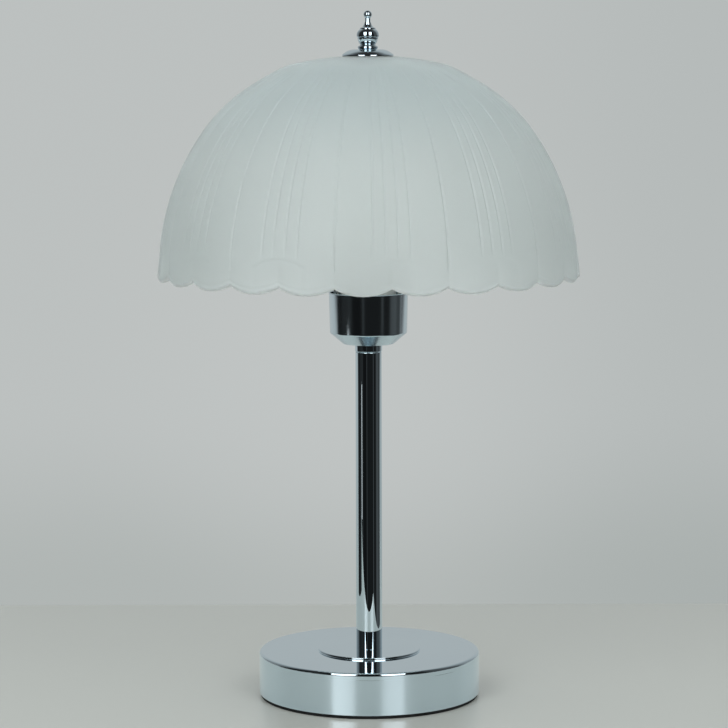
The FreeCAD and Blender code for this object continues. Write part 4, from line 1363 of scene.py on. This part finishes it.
def makeRoom():
    looks = stageLooks
    world = bpy.data.worlds.new("room")
    world.use_nodes = True
    bpy.context.scene.world = world
    tree = world.node_tree
    tree.nodes.clear()
    parts = axes(tree, put(tree, "ShaderNodeTexCoord").outputs["Generated"])
    path = put(tree, "ShaderNodeLightPath").outputs

    # Polished metal sees the bands and a dark ceiling, everything else a plain lit room
    around = calc(tree, "ARCTAN2", parts["X"], times(tree, parts["Y"], -1.0))
    share = calc(tree, "MULTIPLY_ADD", around, 1 / (2 * math.pi), 0.5)
    level = bandRamp(tree, share, roomBands)
    upper = bandRamp(tree, share, upperBands)
    rising = blendColours(tree, ease(tree, parts["Z"], *looks["risingFade"]), level, upper)
    mirrored = blendColours(tree, ease(tree, parts["Z"], *looks["ceilingFade"]), rising, looks["ceiling"])
    soft = (looks["roomLight"] * looks["roomTint"], looks["roomLight"], looks["roomLight"], 1)
    colour = blendColours(tree, path["Is Glossy Ray"], soft, mirrored)

    # The camera sees the backdrop go on. Through the glass, what lies beside it is the lit room.
    aside = over(tree, parts["X"], highest(tree, parts["Y"], looks["leastDepth"]))
    # painted shade: the camera sees the backdrop darker towards the right
    side = times(tree, ease(tree, aside, *looks["rightFade"]), path["Is Camera Ray"])
    dimmed = blendColours(tree, side, looks["backdropHigh"], looks["rightPaintedShade"], "MULTIPLY")
    beside = ease(tree, calc(tree, "ABSOLUTE", aside), *looks["besideFade"])
    backdrop = blendColours(tree, times(tree, beside, path["Is Transmission Ray"]), dimmed, soft)
    seen = highest(tree, path["Is Camera Ray"], path["Is Transmission Ray"])
    colour = blendColours(tree, seen, colour, backdrop)
    light = put(tree, "ShaderNodeBackground", {"Color": colour, "Strength": 1.0})
    put(tree, "ShaderNodeOutputWorld", {"Surface": light.outputs[0]})


# Softboxes by their angles seen from the lamp, in degrees: front is 0, right positive, lean is the roll
softboxes = {
    "leftSoftbox": {"from": -41.5, "to": -17.5, "low": 6.5, "high": 53.0, "lean": 9.0, "radiance": 3.4},
    "rightSoftbox": {"from": 15.5, "to": 39.0, "low": 6.5, "high": 53.0, "lean": -9.0, "radiance": 2.82},
}
softboxDistance = 1.6
softboxAim = Vector((0.0, 0.0, 0.221))
softboxColour = (0.98, 1.0, 1.0)
cardLooks = {
    "around": -62.5, "width": 4.0, "distance": 1.5, "low": -0.15, "high": 0.0045,
    "colour": (1.0, 1.0, 0.98, 1), "radiance": 1.06,
}


def makeCard():
    # A narrow card left of the table that glows though it is no lamp, seen only in polished metal: a painted
    # reflection, the pale streak in the stem
    looks = cardLooks
    material, tree = emptyMaterial("card")
    mirrored = put(tree, "ShaderNodeLightPath").outputs["Is Glossy Ray"]
    clear = put(tree, "ShaderNodeBsdfTransparent")
    glow = put(tree, "ShaderNodeEmission", {"Color": looks["colour"], "Strength": looks["radiance"]})
    shown = put(tree, "ShaderNodeMixShader", {0: mirrored, 1: clear.outputs[0], 2: glow.outputs[0]})
    put(tree, "ShaderNodeOutputMaterial", {"Surface": shown.outputs[0]})
    corners = []
    for side, height in ((-1, "low"), (1, "low"), (1, "high"), (-1, "high")):
        angle = math.radians(looks["around"] + side * looks["width"] / 2)
        corners.append((
            math.sin(angle) * looks["distance"], -math.cos(angle) * looks["distance"], looks[height]))
    card = sheet("card", corners, material)


def makeLights():
    for name, looks in softboxes.items():
        light = bpy.data.lights.new(name, "AREA")
        light.shape = "RECTANGLE"
        light.size = 2 * softboxDistance * math.tan(math.radians((looks["to"] - looks["from"]) / 2))
        light.size_y = 2 * softboxDistance * math.tan(math.radians((looks["high"] - looks["low"]) / 2))
        light.energy = looks["radiance"] * math.pi * light.size * light.size_y
        light.color = softboxColour
        around = math.radians((looks["from"] + looks["to"]) / 2)
        above = math.radians((looks["low"] + looks["high"]) / 2)
        level = math.cos(above)
        toward = Vector((math.sin(around) * level, -math.cos(around) * level, math.sin(above)))
        lean = Matrix.Rotation(math.radians(looks["lean"]), 3, "Z")
        facing = toward.to_track_quat("Z", "Y").to_matrix() @ lean
        box = linked(name, light)
        box.matrix_world = Matrix.Translation(softboxAim + toward * softboxDistance) @ facing.to_4x4()


makeCamera()
makeFloor()
makeCard()
makeRoom()
makeLights()
bpy.context.scene.view_settings.view_transform = "Standard"
print("stage made")
